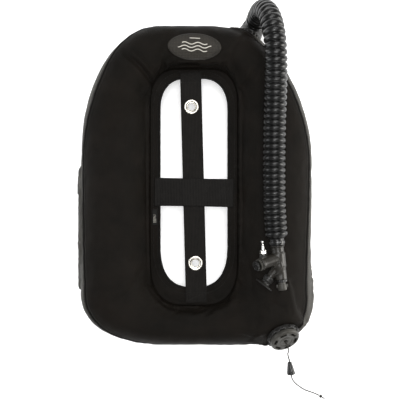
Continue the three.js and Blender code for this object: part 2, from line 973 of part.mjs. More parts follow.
function elbowGeometry() {
  const centre = new THREE.Vector3(0, elbowHeight, 0);
  const baseFoot = portRingTop + fit;
  const spigotRadius = stubBore - fit;
  const base = toSolid(
    turned([
      [0, 0],
      [spigotRadius, 0],
      [spigotRadius, baseFoot],
      [elbowBaseRadius, baseFoot],
      [elbowBaseRadius, baseFoot + elbowRimHeight],
      [elbowDomeRadius + elbowShoulderFlare, elbowHeight - elbowShoulderDrop],
      [elbowDomeRadius - elbowDomeInset, elbowHeight + elbowDomeRise],
      [0, elbowHeight + elbowDomeRise],
    ]),
  );
  const dome = new THREE.SphereGeometry(elbowDomeRadius, roundSteps, domeBands);
  dome.translate(centre.x, centre.y, centre.z);
  const outlet = turned([
    [0, 0],
    [elbowNeckRadius, 0],
    [elbowNeckRadius, elbowNeckLength],
    [elbowBarbRadius, elbowNeckLength],
    [elbowBarbRadius, elbowNeckLength + elbowBarbLength],
    [0, elbowNeckLength + elbowBarbLength],
  ]);
  const inletWay = turnedPlug(elbowBore, -cutOverrun, elbowHeight);
  const bend = new THREE.SphereGeometry(elbowBore, roundSteps, bendBands);
  bend.translate(centre.x, centre.y, centre.z);
  const outletWay = turnedPlug(elbowBore, 0, elbowNeckLength + elbowBarbLength + cutOverrun);
  const solid = base
    .add(toSolid(dome))
    .add(toSolid(aimed(outlet, up, centre)))
    .subtract(toSolid(inletWay))
    .subtract(toSolid(bend))
    .subtract(toSolid(aimed(outletWay, up, centre)));
  return toGeometry(solid);
}

// A cable tie: a thin band with its square head.
function tieGeometry(bore, foot) {
  const band = toSolid(turnedRing(bore, bore + tieThickness, foot, foot + tieWidth));
  const head = new THREE.BoxGeometry(tieHead, tieWidth + tieHeadOverhang, tieHeadThickness);
  head.translate(0, foot + tieWidth / 2, bore + tieThickness + tieHeadOverhang);
  return toGeometry(band.add(toSolid(head)));
}

function addPort(parent) {
  const port = seatGroup(parent, portSeat);
  addMesh(port, "port_flange", innerFlangeGeometry(portRingTop - portStubSetback), blackPlastic);
  addMesh(port, "port_gasket", gasketGeometry(), sealRubber);
  const ring = lobedRingGeometry(
    portRingRadius,
    knurlDepth,
    knurlCount,
    stubRadius + fit,
    gasketTop + fit,
    portRingTop,
  );
  addMesh(port, "port_ring", ring, blackPlastic);
  addMesh(port, "hose_elbow", elbowGeometry(), blackPlastic);
  const tieBore = elbowBarbRadius + fit + cuffWall + fit;
  const tie = tieGeometry(tieBore, elbowNeckLength + elbowBarbLength / 2 - tieWidth / 2);
  const upperTie = addMesh(port, "upper_tie", aimed(tie, up), blackPlastic);
  upperTie.position.y = elbowHeight;
  return port;
}

// ---- Dump valve ----

const dumpBaseFoot = gasketTop + fit;
const dumpStubTop = dumpBaseFoot + dumpStubRise;
const dumpFloorTop = dumpStubTop + fit + dumpFloorThickness;
const dumpBaseTop = dumpBaseFoot + dumpBaseHeight;
const dumpDiscFoot = dumpFloorTop + fit;
const dumpDiscTop = dumpDiscFoot + dumpDiscThickness;
const dumpCapFoot = dumpBaseTop + fit;
const dumpCapTop = dumpCapFoot + dumpCapHeight;

function dumpBaseGeometry() {
  const lugs = lobedRingGeometry(
    dumpLugRadius,
    dumpLugRadius - dumpBaseRadius,
    dumpLugCount,
    dumpPortRadius,
    dumpBaseFoot,
    dumpBaseTop,
  );
  const chamber = turnedPlug(dumpChamberRadius, dumpFloorTop, dumpBaseTop + cutOverrun);
  const socketFoot = dumpBaseFoot - cutOverrun;
  const stubSocket = turnedPlug(stubRadius + fit, socketFoot, dumpStubTop + fit);
  return toGeometry(toSolid(lugs).subtract(toSolid(chamber)).subtract(toSolid(stubSocket)));
}

function dumpCapGeometry() {
  const shell = toSolid(
    turned([
      [dumpCordHole, dumpCapTop - dumpCapRoof],
      [dumpChamberRadius, dumpCapTop - dumpCapRoof],
      [dumpChamberRadius, dumpCapFoot],
      [dumpCapRadius, dumpCapFoot],
      [dumpCapRadius, dumpCapTop - dumpCapChamfer],
      [dumpCapRadius - dumpCapChamfer, dumpCapTop],
      [dumpCordHole, dumpCapTop],
      [dumpCordHole, dumpCapTop - dumpCapRoof],
    ]),
  );
  let cap = shell;
  for (let slot = 0; slot < dumpSlotCount; slot += 1) {
    const cutter = new THREE.BoxGeometry(dumpSlotLength, dumpSlotCut, dumpSlotWidth);
    cutter.translate(0, dumpCapTop, dumpCapRadius - dumpSlotInset);
    cutter.rotateY((2 * Math.PI * slot) / dumpSlotCount);
    cap = cap.subtract(toSolid(cutter));
  }
  return toGeometry(cap);
}

function polygon(radius, sides) {
  const points = [];
  for (let side = 0; side < sides; side += 1) {
    const angle = (2 * Math.PI * side) / sides;
    points.push(new THREE.Vector2(radius * Math.cos(angle), radius * Math.sin(angle)));
  }
  return new THREE.Shape(points);
}

class HelixCurve extends THREE.Curve {
  constructor(radius, foot, top, turns) {
    super();
    this.radius = radius;
    this.foot = foot;
    this.top = top;
    this.turns = turns;
  }
  getPoint(share, target = new THREE.Vector3()) {
    const angle = 2 * Math.PI * this.turns * share;
    return target.set(
      this.radius * Math.cos(angle),
      this.foot + (this.top - this.foot) * share,
      this.radius * Math.sin(angle),
    );
  }
}

function springGeometry(radius, foot, top, turns) {
  return new THREE.ExtrudeGeometry(polygon(springWire, springSides), {
    steps: Math.round(turns * springTurnSteps),
    extrudePath: new HelixCurve(radius, foot + springWire + fit, top - springWire - fit, turns),
  });
}

function addDumpValve(parent) {
  const dump = seatGroup(parent, dumpSeat);
  addMesh(dump, "dump_flange", innerFlangeGeometry(dumpStubTop), blackPlastic);
  addMesh(dump, "dump_gasket", gasketGeometry(), sealRubber);
  addMesh(dump, "dump_base", dumpBaseGeometry(), blackPlastic);
  const disc = turned([
    [0, dumpDiscFoot],
    [dumpDiscRadius, dumpDiscFoot],
    [dumpDiscRadius, dumpDiscTop],
    [dumpStemRadius, dumpDiscTop],
    [dumpStemRadius, dumpDiscTop + dumpStemLength],
    [0, dumpDiscTop + dumpStemLength],
  ]);
  addMesh(dump, "dump_disc", disc, sealRubber);
  const springTop = dumpCapTop - dumpCapRoof;
  const spring = springGeometry(dumpSpringRadius, dumpDiscTop, springTop, dumpSpringTurns);
  addMesh(dump, "dump_spring", spring, springSteel);
  addMesh(dump, "dump_cap", dumpCapGeometry(), greyPlastic);
  return dump;
}

// ---- Hose and cord ----

function tubeGeometry(points, radius, sides, steps) {
  const path = new THREE.CatmullRomCurve3(points, false, "centripetal");
  return new THREE.ExtrudeGeometry(polygon(radius, sides), { steps, extrudePath: path });
}

function toVectors(points) {
  return points.map(([x, y, z]) => new THREE.Vector3(x, y, z));
}

// The hose with the smooth cuffs that go over the elbow's and the inflator's barbs.
function hoseGeometry(elbowOutlet, elbowDirection, inflatorDirection) {
  const points = toVectors(hosePoints);
  const overlap = 1;
  const tube = toSolid(tubeGeometry(points, hoseRadius, hoseSides, hoseSteps));
  const upperCuff = turnedRing(
    elbowBarbRadius + fit,
    elbowBarbRadius + fit + cuffWall,
    -elbowBarbLength,
    overlap,
  );
  const lowerCuff = turnedRing(
    barbRadius + fit,
    barbRadius + fit + cuffWall,
    -overlap,
    barbLength - fit,
  );
  return toGeometry(
    tube
      .add(toSolid(aimed(upperCuff, elbowDirection, elbowOutlet)))
      .add(toSolid(aimed(lowerCuff, inflatorDirection, points[points.length - 1]))),
  );
}

function toggleGeometry() {
  const bore = cordRadius + 2 * fit;
  return turned(
    [
      [bore, 0],
      [toggleTipRadius, 0],
      [toggleRadius, toggleLength - toggleEndLength],
      [toggleRadius - toggleEndInset, toggleLength],
      [bore, toggleLength],
      [bore, 0],
    ],
    toggleSteps,
  );
}

function knotGeometry() {
  const knot = new THREE.SphereGeometry(knotRadius, knotSteps, knotBands);
  const tail = turnedPlug(cordRadius, 0, knotRadius + knotTail, cordSides);
  return toGeometry(toSolid(knot).add(toSolid(tail)));
}

// The cord, with the bead threaded on it and the stopper knot at its end.
function addCord(parent) {
  const cord = tubeGeometry(toVectors(cordPoints), cordRadius, cordSides, cordSteps);
  addMesh(parent, "dump_cord", cord, cordNylon);
  const toggle = addMesh(parent, "dump_toggle", toggleGeometry(), blackPlastic);
  toggle.position.copy(toggleTip);
  toggle.quaternion.setFromUnitVectors(yAxis, toggleEnd.clone().sub(toggleTip).normalize());
  const knot = addMesh(parent, "cord_knot", knotGeometry(), cordNylon);
  knot.position.copy(knotMiddle);
  knot.quaternion.setFromUnitVectors(yAxis, tailDirection);
}

// ---- Inflator ----

const neckFoot = -barbLength - fit - collarLength - neckLength;
const bodyFoot = neckFoot - bodyLength;

function inflatorBodyGeometry() {
  const collarTop = -barbLength - fit;
  const trunk = turned([
    [0, bodyFoot],
    [bodyFootRadius, bodyFoot],
    [bodyFootRadius, bodyFoot + bodyFootLength],
    [bodyRadius, bodyFoot + bodyTaperEnd],
    [bodyRadius, neckFoot - neckTaper],
    [neckRadius, neckFoot],
    [neckRadius, collarTop - collarLength],
    [collarRadius, collarTop - collarLength],
    [collarRadius, collarTop],
    [barbRadius, collarTop],
    [barbRadius, -fit],
    [0, -fit],
  ]);
  const housingPoint = new THREE.Vector3(0, -housingStart, 0);
  const housing = turned([
    [0, 0],
    [housingRootRadius, 0],
    [housingRadius, housingLength * housingTaperShare],
    [housingRadius, housingLength],
    [0, housingLength],
  ]);
  const boss = turnedPlug(bossRadius, -bossFoot, -bossTop);
  boss.translate(bossOffset, 0, 0);
  const armPoint = new THREE.Vector3(0, -armStart, 0);
  const arm = turnedPlug(armRadius, 0, armLength);
  const airway = turnedPlug(airwayRadius, -armStart, cutOverrun);
  const armWay = turnedPlug(airwayRadius, 0, armLength + cutOverrun);
  const exhaustHousing = turnedPlug(
    exhaustHousingRadius,
    bodyFoot,
    bodyFoot + exhaustHousingLength,
  );
  exhaustHousing.translate(exhaustOffset, 0, 0);
  const exhaustBore = turnedPlug(
    exhaustBoreRadius,
    bodyFoot - cutOverrun,
    bodyFoot + exhaustBoreDepth,
  );
  exhaustBore.translate(exhaustOffset, 0, 0);
  const inflateBore = turnedPlug(
    inflateBoreRadius,
    housingLength - inflateBoreDepth,
    housingLength + cutOverrun,
  );
  const solid = toSolid(trunk)
    .add(toSolid(aimed(housing, housingAxis, housingPoint)))
    .add(toSolid(boss))
    .add(toSolid(exhaustHousing))
    .add(toSolid(aimed(arm, armAxis, armPoint)))
    .subtract(toSolid(airway))
    .subtract(toSolid(aimed(armWay, armAxis, armPoint)))
    .subtract(toSolid(exhaustBore))
    .subtract(toSolid(aimed(inflateBore, housingAxis, housingPoint)));
  return toGeometry(solid);
}

function nippleGeometry() {
  const collarTop = nippleHexLength + nippleFlangeThickness;
  const grooveFoot = nippleLength - nippleGrooveStart;
  const grooveTop = nippleLength - nippleGrooveEnd;
  return turned([
    [nippleBore, 0],
    [nippleHexRadius, 0],
    [nippleHexRadius, nippleHexLength],
    [nippleFlangeRadius, nippleHexLength],
    [nippleFlangeRadius, collarTop],
    [nippleStemRadius, collarTop],
    [nippleStemRadius, grooveFoot],
    [nippleGrooveRadius, grooveFoot + nippleGrooveSlope],
    [nippleGrooveRadius, grooveTop - nippleGrooveSlope],
    [nippleStemRadius, grooveTop],
    [nippleStemRadius, nippleLength],
    [nippleBore, nippleLength],
    [nippleBore, 0],
  ]);
}

// A push button: a stem that slides in a bezel, with a wider head outside it.
function buttonGeometry(stemRadius, headRadius, stemFoot, headFoot, headTop) {
  return turned([
    [0, stemFoot],
    [stemRadius, stemFoot],
    [stemRadius, headFoot],
    [headRadius, headFoot],
    [headRadius, headTop - buttonChamfer],
    [headRadius - buttonChamfer, headTop],
    [0, headTop],
  ]);
}

function mouthpieceGeometry() {
  const bore = airwayRadius;
  const sleeveTop = mouthpieceLength / 2;
  const flangeFoot = mouthpieceLength - mouthpieceFlangeThickness;
  const seat = sleeveTop - mouthpieceSeatInset;
  return turned([
    [armRadius + fit, 0],
    [mouthpieceSleeveRadius, 0],
    [mouthpieceSleeveRadius, sleeveTop],
    [mouthpieceNeckRadius, sleeveTop + mouthpieceSleeveTaper],
    [mouthpieceNeckRadius, flangeFoot - mouthpieceFlangeTaper],
    [mouthpieceFlangeRadius, flangeFoot],
    [mouthpieceFlangeRadius, mouthpieceLength],
    [bore, mouthpieceLength],
    [bore, seat],
    [armRadius + fit, seat],
    [armRadius + fit, 0],
  ]);
}

function addInflator(parent) {
  const inflator = new THREE.Group();
  inflator.position.copy(inflatorTop);
  inflator.rotation.z = inflatorTilt;
  parent.add(inflator);
  addMesh(inflator, "inflator_body", inflatorBodyGeometry(), blackPlastic);
  const tieFoot = lowerTieRise - barbLength;
  const tie = tieGeometry(barbRadius + fit + cuffWall + fit, tieFoot);
  addMesh(inflator, "lower_tie", tie, blackPlastic);

  const nipple = addMesh(inflator, "qd_nipple", nippleGeometry(), nickel);
  nipple.position.set(bossOffset, -bossTop + fit, 0);

  const inflate = new THREE.Group();
  inflate.position.set(0, -housingStart, 0);
  inflate.quaternion.setFromUnitVectors(yAxis, housingAxis);
  inflator.add(inflate);
  const inflateBezelFoot = housingLength + fit;
  const inflateBezelTop = inflateBezelFoot + inflateBezelHeight;
  const inflateHeadFoot = inflateBezelTop + inflateTravel + fit;
  const inflateStemFoot = housingLength - inflateStemDepth;
  const inflateBoreEnd = housingLength - inflateBoreDepth;
  addMesh(
    inflate,
    "inflate_button",
    buttonGeometry(
      inflateStemRadius,
      inflateHeadRadius,
      inflateStemFoot,
      inflateHeadFoot,
      inflateHeadFoot + inflateHeadHeight,
    ),
    blackPlastic,
  );
  const inflateSpring = springGeometry(
    inflateSpringRadius,
    inflateBoreEnd,
    inflateStemFoot,
    buttonSpringTurns,
  );
  addMesh(inflate, "inflate_spring", inflateSpring, springSteel);
  const inflateBezel = turnedRing(
    inflateStemRadius + fit,
    inflateBezelRadius,
    inflateBezelFoot,
    inflateBezelTop,
  );
  addMesh(inflate, "inflate_bezel", inflateBezel, greyPlastic);

  const arm = new THREE.Group();
  arm.position.set(0, -armStart, 0);
  arm.quaternion.setFromUnitVectors(yAxis, armAxis);
  inflator.add(arm);
  const mouthpiece = addMesh(arm, "mouthpiece", mouthpieceGeometry(), sealRubber);
  mouthpiece.position.y = armLength - mouthpieceLength / 2 + mouthpieceSeatInset + fit;

  // The exhaust valve's own axis runs down from the foot of the body.
  const exhaust = new THREE.Group();
  exhaust.position.set(exhaustOffset, bodyFoot, 0);
  exhaust.rotation.z = Math.PI;
  inflator.add(exhaust);
  const exhaustBezelTop = fit + exhaustBezelHeight;
  const exhaustHeadFoot = exhaustBezelTop + exhaustTravel + fit;
  const exhaustStemFoot = -exhaustStemDepth;
  addMesh(
    exhaust,
    "exhaust_button",
    buttonGeometry(
      exhaustStemRadius,
      exhaustCapRadius,
      exhaustStemFoot,
      exhaustHeadFoot,
      exhaustHeadFoot + exhaustCapHeight,
    ),
    greyPlastic,
  );
  const sealTop = exhaustStemFoot - fit;
  const sealFoot = sealTop - exhaustSealThickness;
  addMesh(
    exhaust,
    "exhaust_seal",
    turnedPlug(exhaustStemRadius, sealFoot, sealTop),
    sealRubber,
  );
  const exhaustSpring = springGeometry(
    exhaustSpringRadius,
    -exhaustBoreDepth,
    sealFoot,
    buttonSpringTurns,
  );
  addMesh(exhaust, "exhaust_spring", exhaustSpring, springSteel);
  const exhaustBezel = turnedRing(
    exhaustStemRadius + fit,
    exhaustBezelRadius,
    fit,
    exhaustBezelTop,
  );
  addMesh(exhaust, "exhaust_bezel", exhaustBezel, blackPlastic);
  return inflator;
}

// ---- Assembly ----

const wing = new THREE.Group();
addMesh(wing, "front_panel", frontPanelGeometry(), blackNylon);
addMesh(wing, "back_panel", backPanelGeometry(), greyNylon);
addMesh(wing, "perimeter_piping", pipingGeometry(), blackBinding);
addMesh(wing, "air_bladder", bladderGeometry(), bladderFilm);
addMesh(wing, "opening_flange", flangeGeometry(), blackNylon);
addMesh(wing, "opening_binding", bindingGeometry(), blackBinding);
addStraps(wing);
addLabels(wing);
addZipper(wing);
const portGroup = addPort(wing);
addDumpValve(wing);
const inflatorGroup = addInflator(wing);
wing.updateMatrixWorld(true);

const outletReach = elbowNeckLength + elbowBarbLength + fit;
const elbowOutlet = portGroup.localToWorld(new THREE.Vector3(0, elbowHeight, outletReach));
const elbowDirection = up.clone().applyQuaternion(portGroup.quaternion);
const inflatorDirection = yAxis.clone().negate().applyQuaternion(inflatorGroup.quaternion);

// What lies free is added after the middle of the rest is found.
const rest = new THREE.Box3().setFromObject(wing, true);
const hose = hoseGeometry(elbowOutlet, elbowDirection, inflatorDirection);
addMesh(wing, "inflator_hose", hose, hoseRubber);
addCord(wing);

const middle = rest.getCenter(new THREE.Vector3());
wing.position.set(-middle.x, -middle.y, -rest.min.z);

const part = new THREE.Group();
part.add(wing);

export default part;
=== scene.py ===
import math

import bmesh
import bpy
import numpy as np
from mathutils import Matrix, Vector, noise
from mathutils.bvhtree import BVHTree


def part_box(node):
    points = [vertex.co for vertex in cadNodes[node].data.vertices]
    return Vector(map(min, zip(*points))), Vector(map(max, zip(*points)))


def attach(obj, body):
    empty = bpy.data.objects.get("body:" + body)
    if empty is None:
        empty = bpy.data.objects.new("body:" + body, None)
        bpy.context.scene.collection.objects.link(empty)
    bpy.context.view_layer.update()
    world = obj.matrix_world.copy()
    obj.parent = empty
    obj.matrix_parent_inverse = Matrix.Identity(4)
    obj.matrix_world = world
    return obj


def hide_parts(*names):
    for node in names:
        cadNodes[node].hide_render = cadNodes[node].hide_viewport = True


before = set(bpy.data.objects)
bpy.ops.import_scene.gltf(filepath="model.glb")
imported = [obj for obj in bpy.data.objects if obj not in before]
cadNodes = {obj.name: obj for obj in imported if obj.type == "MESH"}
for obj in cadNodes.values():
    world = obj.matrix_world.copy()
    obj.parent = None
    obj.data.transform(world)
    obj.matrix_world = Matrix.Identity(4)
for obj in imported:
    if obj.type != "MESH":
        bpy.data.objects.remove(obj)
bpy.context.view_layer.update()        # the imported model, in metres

lowFlange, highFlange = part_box("opening_flange")
flangeOffset = (0.0045, 0.0035)  # from the opening's middle to the wing's middle
wingMiddle = Vector(((lowFlange[0] + highFlange[0]) / 2 + flangeOffset[0],
                     (lowFlange[1] + highFlange[1]) / 2 + flangeOffset[1], 0))
up = Vector((0, 0, 1))
print("frame loaded")


# ---- small helpers ----

def mm(*values):
    scaled = [value / 1000 for value in values]
    return scaled[0] if len(scaled) == 1 else Vector(scaled)


def onWing(x, y, z):
    # a place measured from the middle of the wing, in millimetres
    return mm(x, y, z) + wingMiddle


def srgb(hexColor):
    channels = [int(hexColor[start:start + 2], 16) / 255 for start in (1, 3, 5)]
    linear = [c / 12.92 if c <= 0.04045 else ((c + 0.055) / 1.055) ** 2.4 for c in channels]
    return (*linear, 1.0)


def addNode(tree, kind, settings=None, inputs=None):
    made = tree.nodes.new("ShaderNode" + kind)
    for key, value in (settings or {}).items():
        setattr(made, key, value)
    for socket, value in (inputs or {}).items():
        if isinstance(value, bpy.types.NodeSocket):
            tree.links.new(value, made.inputs[socket])
        else:
            made.inputs[socket].default_value = value
    return made


def startMaterial(name):
    material = bpy.data.materials.new(name)
    material.use_nodes = True
    material.node_tree.nodes.clear()
    return material, material.node_tree


def endMaterial(tree, inputs):
    shader = addNode(tree, "BsdfPrincipled", inputs=inputs)
    addNode(tree, "OutputMaterial", inputs={"Surface": shader.outputs["BSDF"]})


def twoColors(tree, factor, dark, light, low=0.35, high=0.65):
    ramp = addNode(tree, "ValToRGB", inputs={"Fac": factor})
    ramp.color_ramp.elements[0].position = low
    ramp.color_ramp.elements[0].color = srgb(dark)
    ramp.color_ramp.elements[1].position = high
    ramp.color_ramp.elements[1].color = srgb(light)
    return ramp.outputs["Color"]


def spread(tree, factor, low, high):
    ranged = addNode(tree, "MapRange", inputs={"Value": factor, "To Min": low, "To Max": high})
    return ranged.outputs["Result"]


def waveScale(pitch):
    # a wave texture repeats every 0.31416 / scale
    return 0.31416 / pitch


# ---- materials ----

def wovenNylon(name, values):
    # Coated nylon cloth: a plain weave that breaks up the light, with a dull coating and a little sheen.
    material, tree = startMaterial(name)
    place = addNode(tree, "TexCoord")
    uv, spot = place.outputs["UV"], place.outputs["Object"]
    thread = values["threadMm"] / 1000  # the real yarns are about 0.5 mm, drawn coarser so that they show
    warp = addNode(tree, "TexWave", {"bands_direction": "X"},
                   {"Vector": uv, "Scale": waveScale(thread), "Distortion": 0.6, "Detail Scale": 2.0})
    weft = addNode(tree, "TexWave", {"bands_direction": "Y"},
                   {"Vector": uv, "Scale": waveScale(thread), "Distortion": 0.6, "Detail Scale": 2.0})
    over = addNode(tree, "TexChecker", inputs={"Vector": uv, "Scale": 1 / thread})
    weave = addNode(tree, "Mix", inputs={"Factor": over.outputs["Fac"], "A": warp.outputs["Fac"],
                                         "B": weft.outputs["Fac"]})
    cloud = addNode(tree, "TexNoise", inputs={"Vector": spot, "Scale": values["cloudScale"],
                                              "Detail": 5.0, "Roughness": 0.6})
    crumple = addNode(tree, "TexNoise", inputs={"Vector": spot, "Scale": 95.0,
                                                "Detail": 3.0, "Roughness": 0.55})
    soft = addNode(tree, "Bump", inputs={"Strength": values["crumple"], "Distance": 0.0012,
                                         "Height": crumple.outputs["Fac"]})
    fine = addNode(tree, "Bump", inputs={"Strength": values["weave"], "Distance": 0.0003,
                                         "Height": weave.outputs["Result"], "Normal": soft.outputs["Normal"]})
    color = twoColors(tree, cloud.outputs["Fac"], values["dark"], values["light"], 0.3, 0.72)
    endMaterial(tree, {"Base Color": color,
                       "Roughness": spread(tree, cloud.outputs["Fac"], values["roughness"] + 0.06,
                                           values["roughness"] - 0.06),
                       "IOR": 1.53, "Specular IOR Level": values["specular"],
                       "Sheen Weight": values["sheen"], "Sheen Roughness": 0.45,
                       "Sheen Tint": srgb(values["light"]), "Normal": fine.outputs["Normal"]})
    return material


def wovenTape(name, values):
    # Nylon tape: raised ribs across it with fine yarns along it, so that it catches light in lines.
    material, tree = startMaterial(name)
    place = addNode(tree, "TexCoord")
    uv, spot = place.outputs["UV"], place.outputs["Object"]
    ribs = addNode(tree, "TexWave", {"bands_direction": values["ribsAlong"]},
                   {"Vector": uv, "Scale": waveScale(values["ribMm"] / 1000), "Distortion": 0.35,
                    "Detail Scale": 3.0})
    yarns = addNode(tree, "TexWave", {"bands_direction": "X" if values["ribsAlong"] == "Y" else "Y"},
                    {"Vector": uv, "Scale": waveScale(values["yarnMm"] / 1000), "Distortion": 0.5,
                     "Detail Scale": 3.0})
    wear = addNode(tree, "TexNoise", inputs={"Vector": spot, "Scale": 130.0,
                                             "Detail": 6.0, "Roughness": 0.65})
    both = addNode(tree, "Mix", inputs={"Factor": 0.35, "A": ribs.outputs["Fac"], "B": yarns.outputs["Fac"]})
    raised = addNode(tree, "Bump", inputs={"Strength": values["bump"], "Distance": 0.0005,
                                           "Height": both.outputs["Result"]})
    lit = addNode(tree, "Mix", inputs={"Factor": 0.45, "A": ribs.outputs["Fac"], "B": wear.outputs["Fac"]})
    color = twoColors(tree, lit.outputs["Result"], values["dark"], values["light"], 0.2, 0.8)
    endMaterial(tree, {"Base Color": color, "Roughness": spread(tree, wear.outputs["Fac"], 0.85, 0.62),
                       "IOR": 1.53, "Specular IOR Level": 0.15, "Sheen Weight": values["sheen"],
                       "Sheen Roughness": 0.4, "Normal": raised.outputs["Normal"]})
    return material


def mouldedPlastic(name, values):
    # Injection-moulded plastic: an even colour with a spark-eroded grain, so highlights are broad and soft.
    material, tree = startMaterial(name)
    spot = addNode(tree, "TexCoord").outputs["Object"]
    grain = addNode(tree, "TexNoise", inputs={"Vector": spot, "Scale": 1000 / values["grainMm"],
                                              "Detail": 2.0})
    handling = addNode(tree, "TexNoise", inputs={"Vector": spot, "Scale": 70.0,
                                                 "Detail": 6.0, "Roughness": 0.7})
    raised = addNode(tree, "Bump", inputs={"Strength": values["grain"], "Distance": 0.0001,
                                           "Height": grain.outputs["Fac"]})
    color = twoColors(tree, handling.outputs["Fac"], values["dark"], values["light"])
    endMaterial(tree, {"Base Color": color,
                       "Roughness": spread(tree, handling.outputs["Fac"], values["roughness"] - 0.08,
                                           values["roughness"] + 0.1),
                       "IOR": values["ior"], "Specular IOR Level": values["specular"],
                       "Normal": raised.outputs["Normal"]})
    return material


def softRubber(name, values):
    # Vulcanised rubber: dull, with a thin grey bloom that gathers in patches and a few finger marks.
    material, tree = startMaterial(name)
    spot = addNode(tree, "TexCoord").outputs["Object"]
    bloom = addNode(tree, "TexNoise", inputs={"Vector": spot, "Scale": 45.0,
                                              "Detail": 7.0, "Roughness": 0.68})
    pores = addNode(tree, "TexNoise", inputs={"Vector": spot, "Scale": 1400.0, "Detail": 2.0})
    raised = addNode(tree, "Bump", inputs={"Strength": 0.25, "Distance": 0.00012,
                                           "Height": pores.outputs["Fac"]})
    color = twoColors(tree, bloom.outputs["Fac"], values["dark"], values["light"], 0.3, 0.75)
    endMaterial(tree, {"Base Color": color,
                       "Roughness": spread(tree, bloom.outputs["Fac"], values["roughness"] - 0.1,
                                           values["roughness"] + 0.12),
                       "IOR": 1.52, "Specular IOR Level": values["specular"],
                       "Normal": raised.outputs["Normal"]})
    return material


def platedMetal(name, values):
    # Plated or drawn metal: bright, with fine polishing lines and slight tarnish in patches.
    material, tree = startMaterial(name)
    spot = addNode(tree, "TexCoord").outputs["Object"]
    tarnish = addNode(tree, "TexNoise", inputs={"Vector": spot, "Scale": 160.0,
                                                "Detail": 6.0, "Roughness": 0.7})
    lines = addNode(tree, "TexNoise", inputs={"Vector": spot, "Scale": 2200.0, "Detail": 2.0})
    raised = addNode(tree, "Bump", inputs={"Strength": 0.12, "Distance": 0.00005,
                                           "Height": lines.outputs["Fac"]})
    color = twoColors(tree, tarnish.outputs["Fac"], values["dark"], values["light"])
    endMaterial(tree, {"Base Color": color, "Metallic": 1.0,
                       "Roughness": spread(tree, tarnish.outputs["Fac"], values["roughness"],
                                           values["roughness"] + 0.16),
                       "Normal": raised.outputs["Normal"]})
    return material


def dottedBadge(name, values):
    # Soft moulded PVC: rows of small raised dots on a dull ground.
    material, tree = startMaterial(name)
    place = addNode(tree, "TexCoord")
    uv, spot = place.outputs["UV"], place.outputs["Object"]
    pitch = values["dotMm"] / 1000
    across = addNode(tree, "TexWave", {"bands_direction": "X"}, {"Vector": uv, "Scale": waveScale(pitch)})
    along = addNode(tree, "TexWave", {"bands_direction": "Y"}, {"Vector": uv, "Scale": waveScale(pitch)})
    dots = addNode(tree, "Math", {"operation": "MULTIPLY"},
                   {0: across.outputs["Fac"], 1: along.outputs["Fac"]})
    dull = addNode(tree, "TexNoise", inputs={"Vector": spot, "Scale": 220.0, "Detail": 5.0})
    raised = addNode(tree, "Bump", inputs={"Strength": 0.8, "Distance": 0.0006,
                                           "Height": dots.outputs["Value"]})
    color = twoColors(tree, dots.outputs["Value"], values["dark"], values["light"], 0.25, 0.75)
    endMaterial(tree, {"Base Color": color, "Roughness": spread(tree, dull.outputs["Fac"], 0.45, 0.65),
                       "IOR": 1.53, "Specular IOR Level": 0.25, "Normal": raised.outputs["Normal"]})
    return material


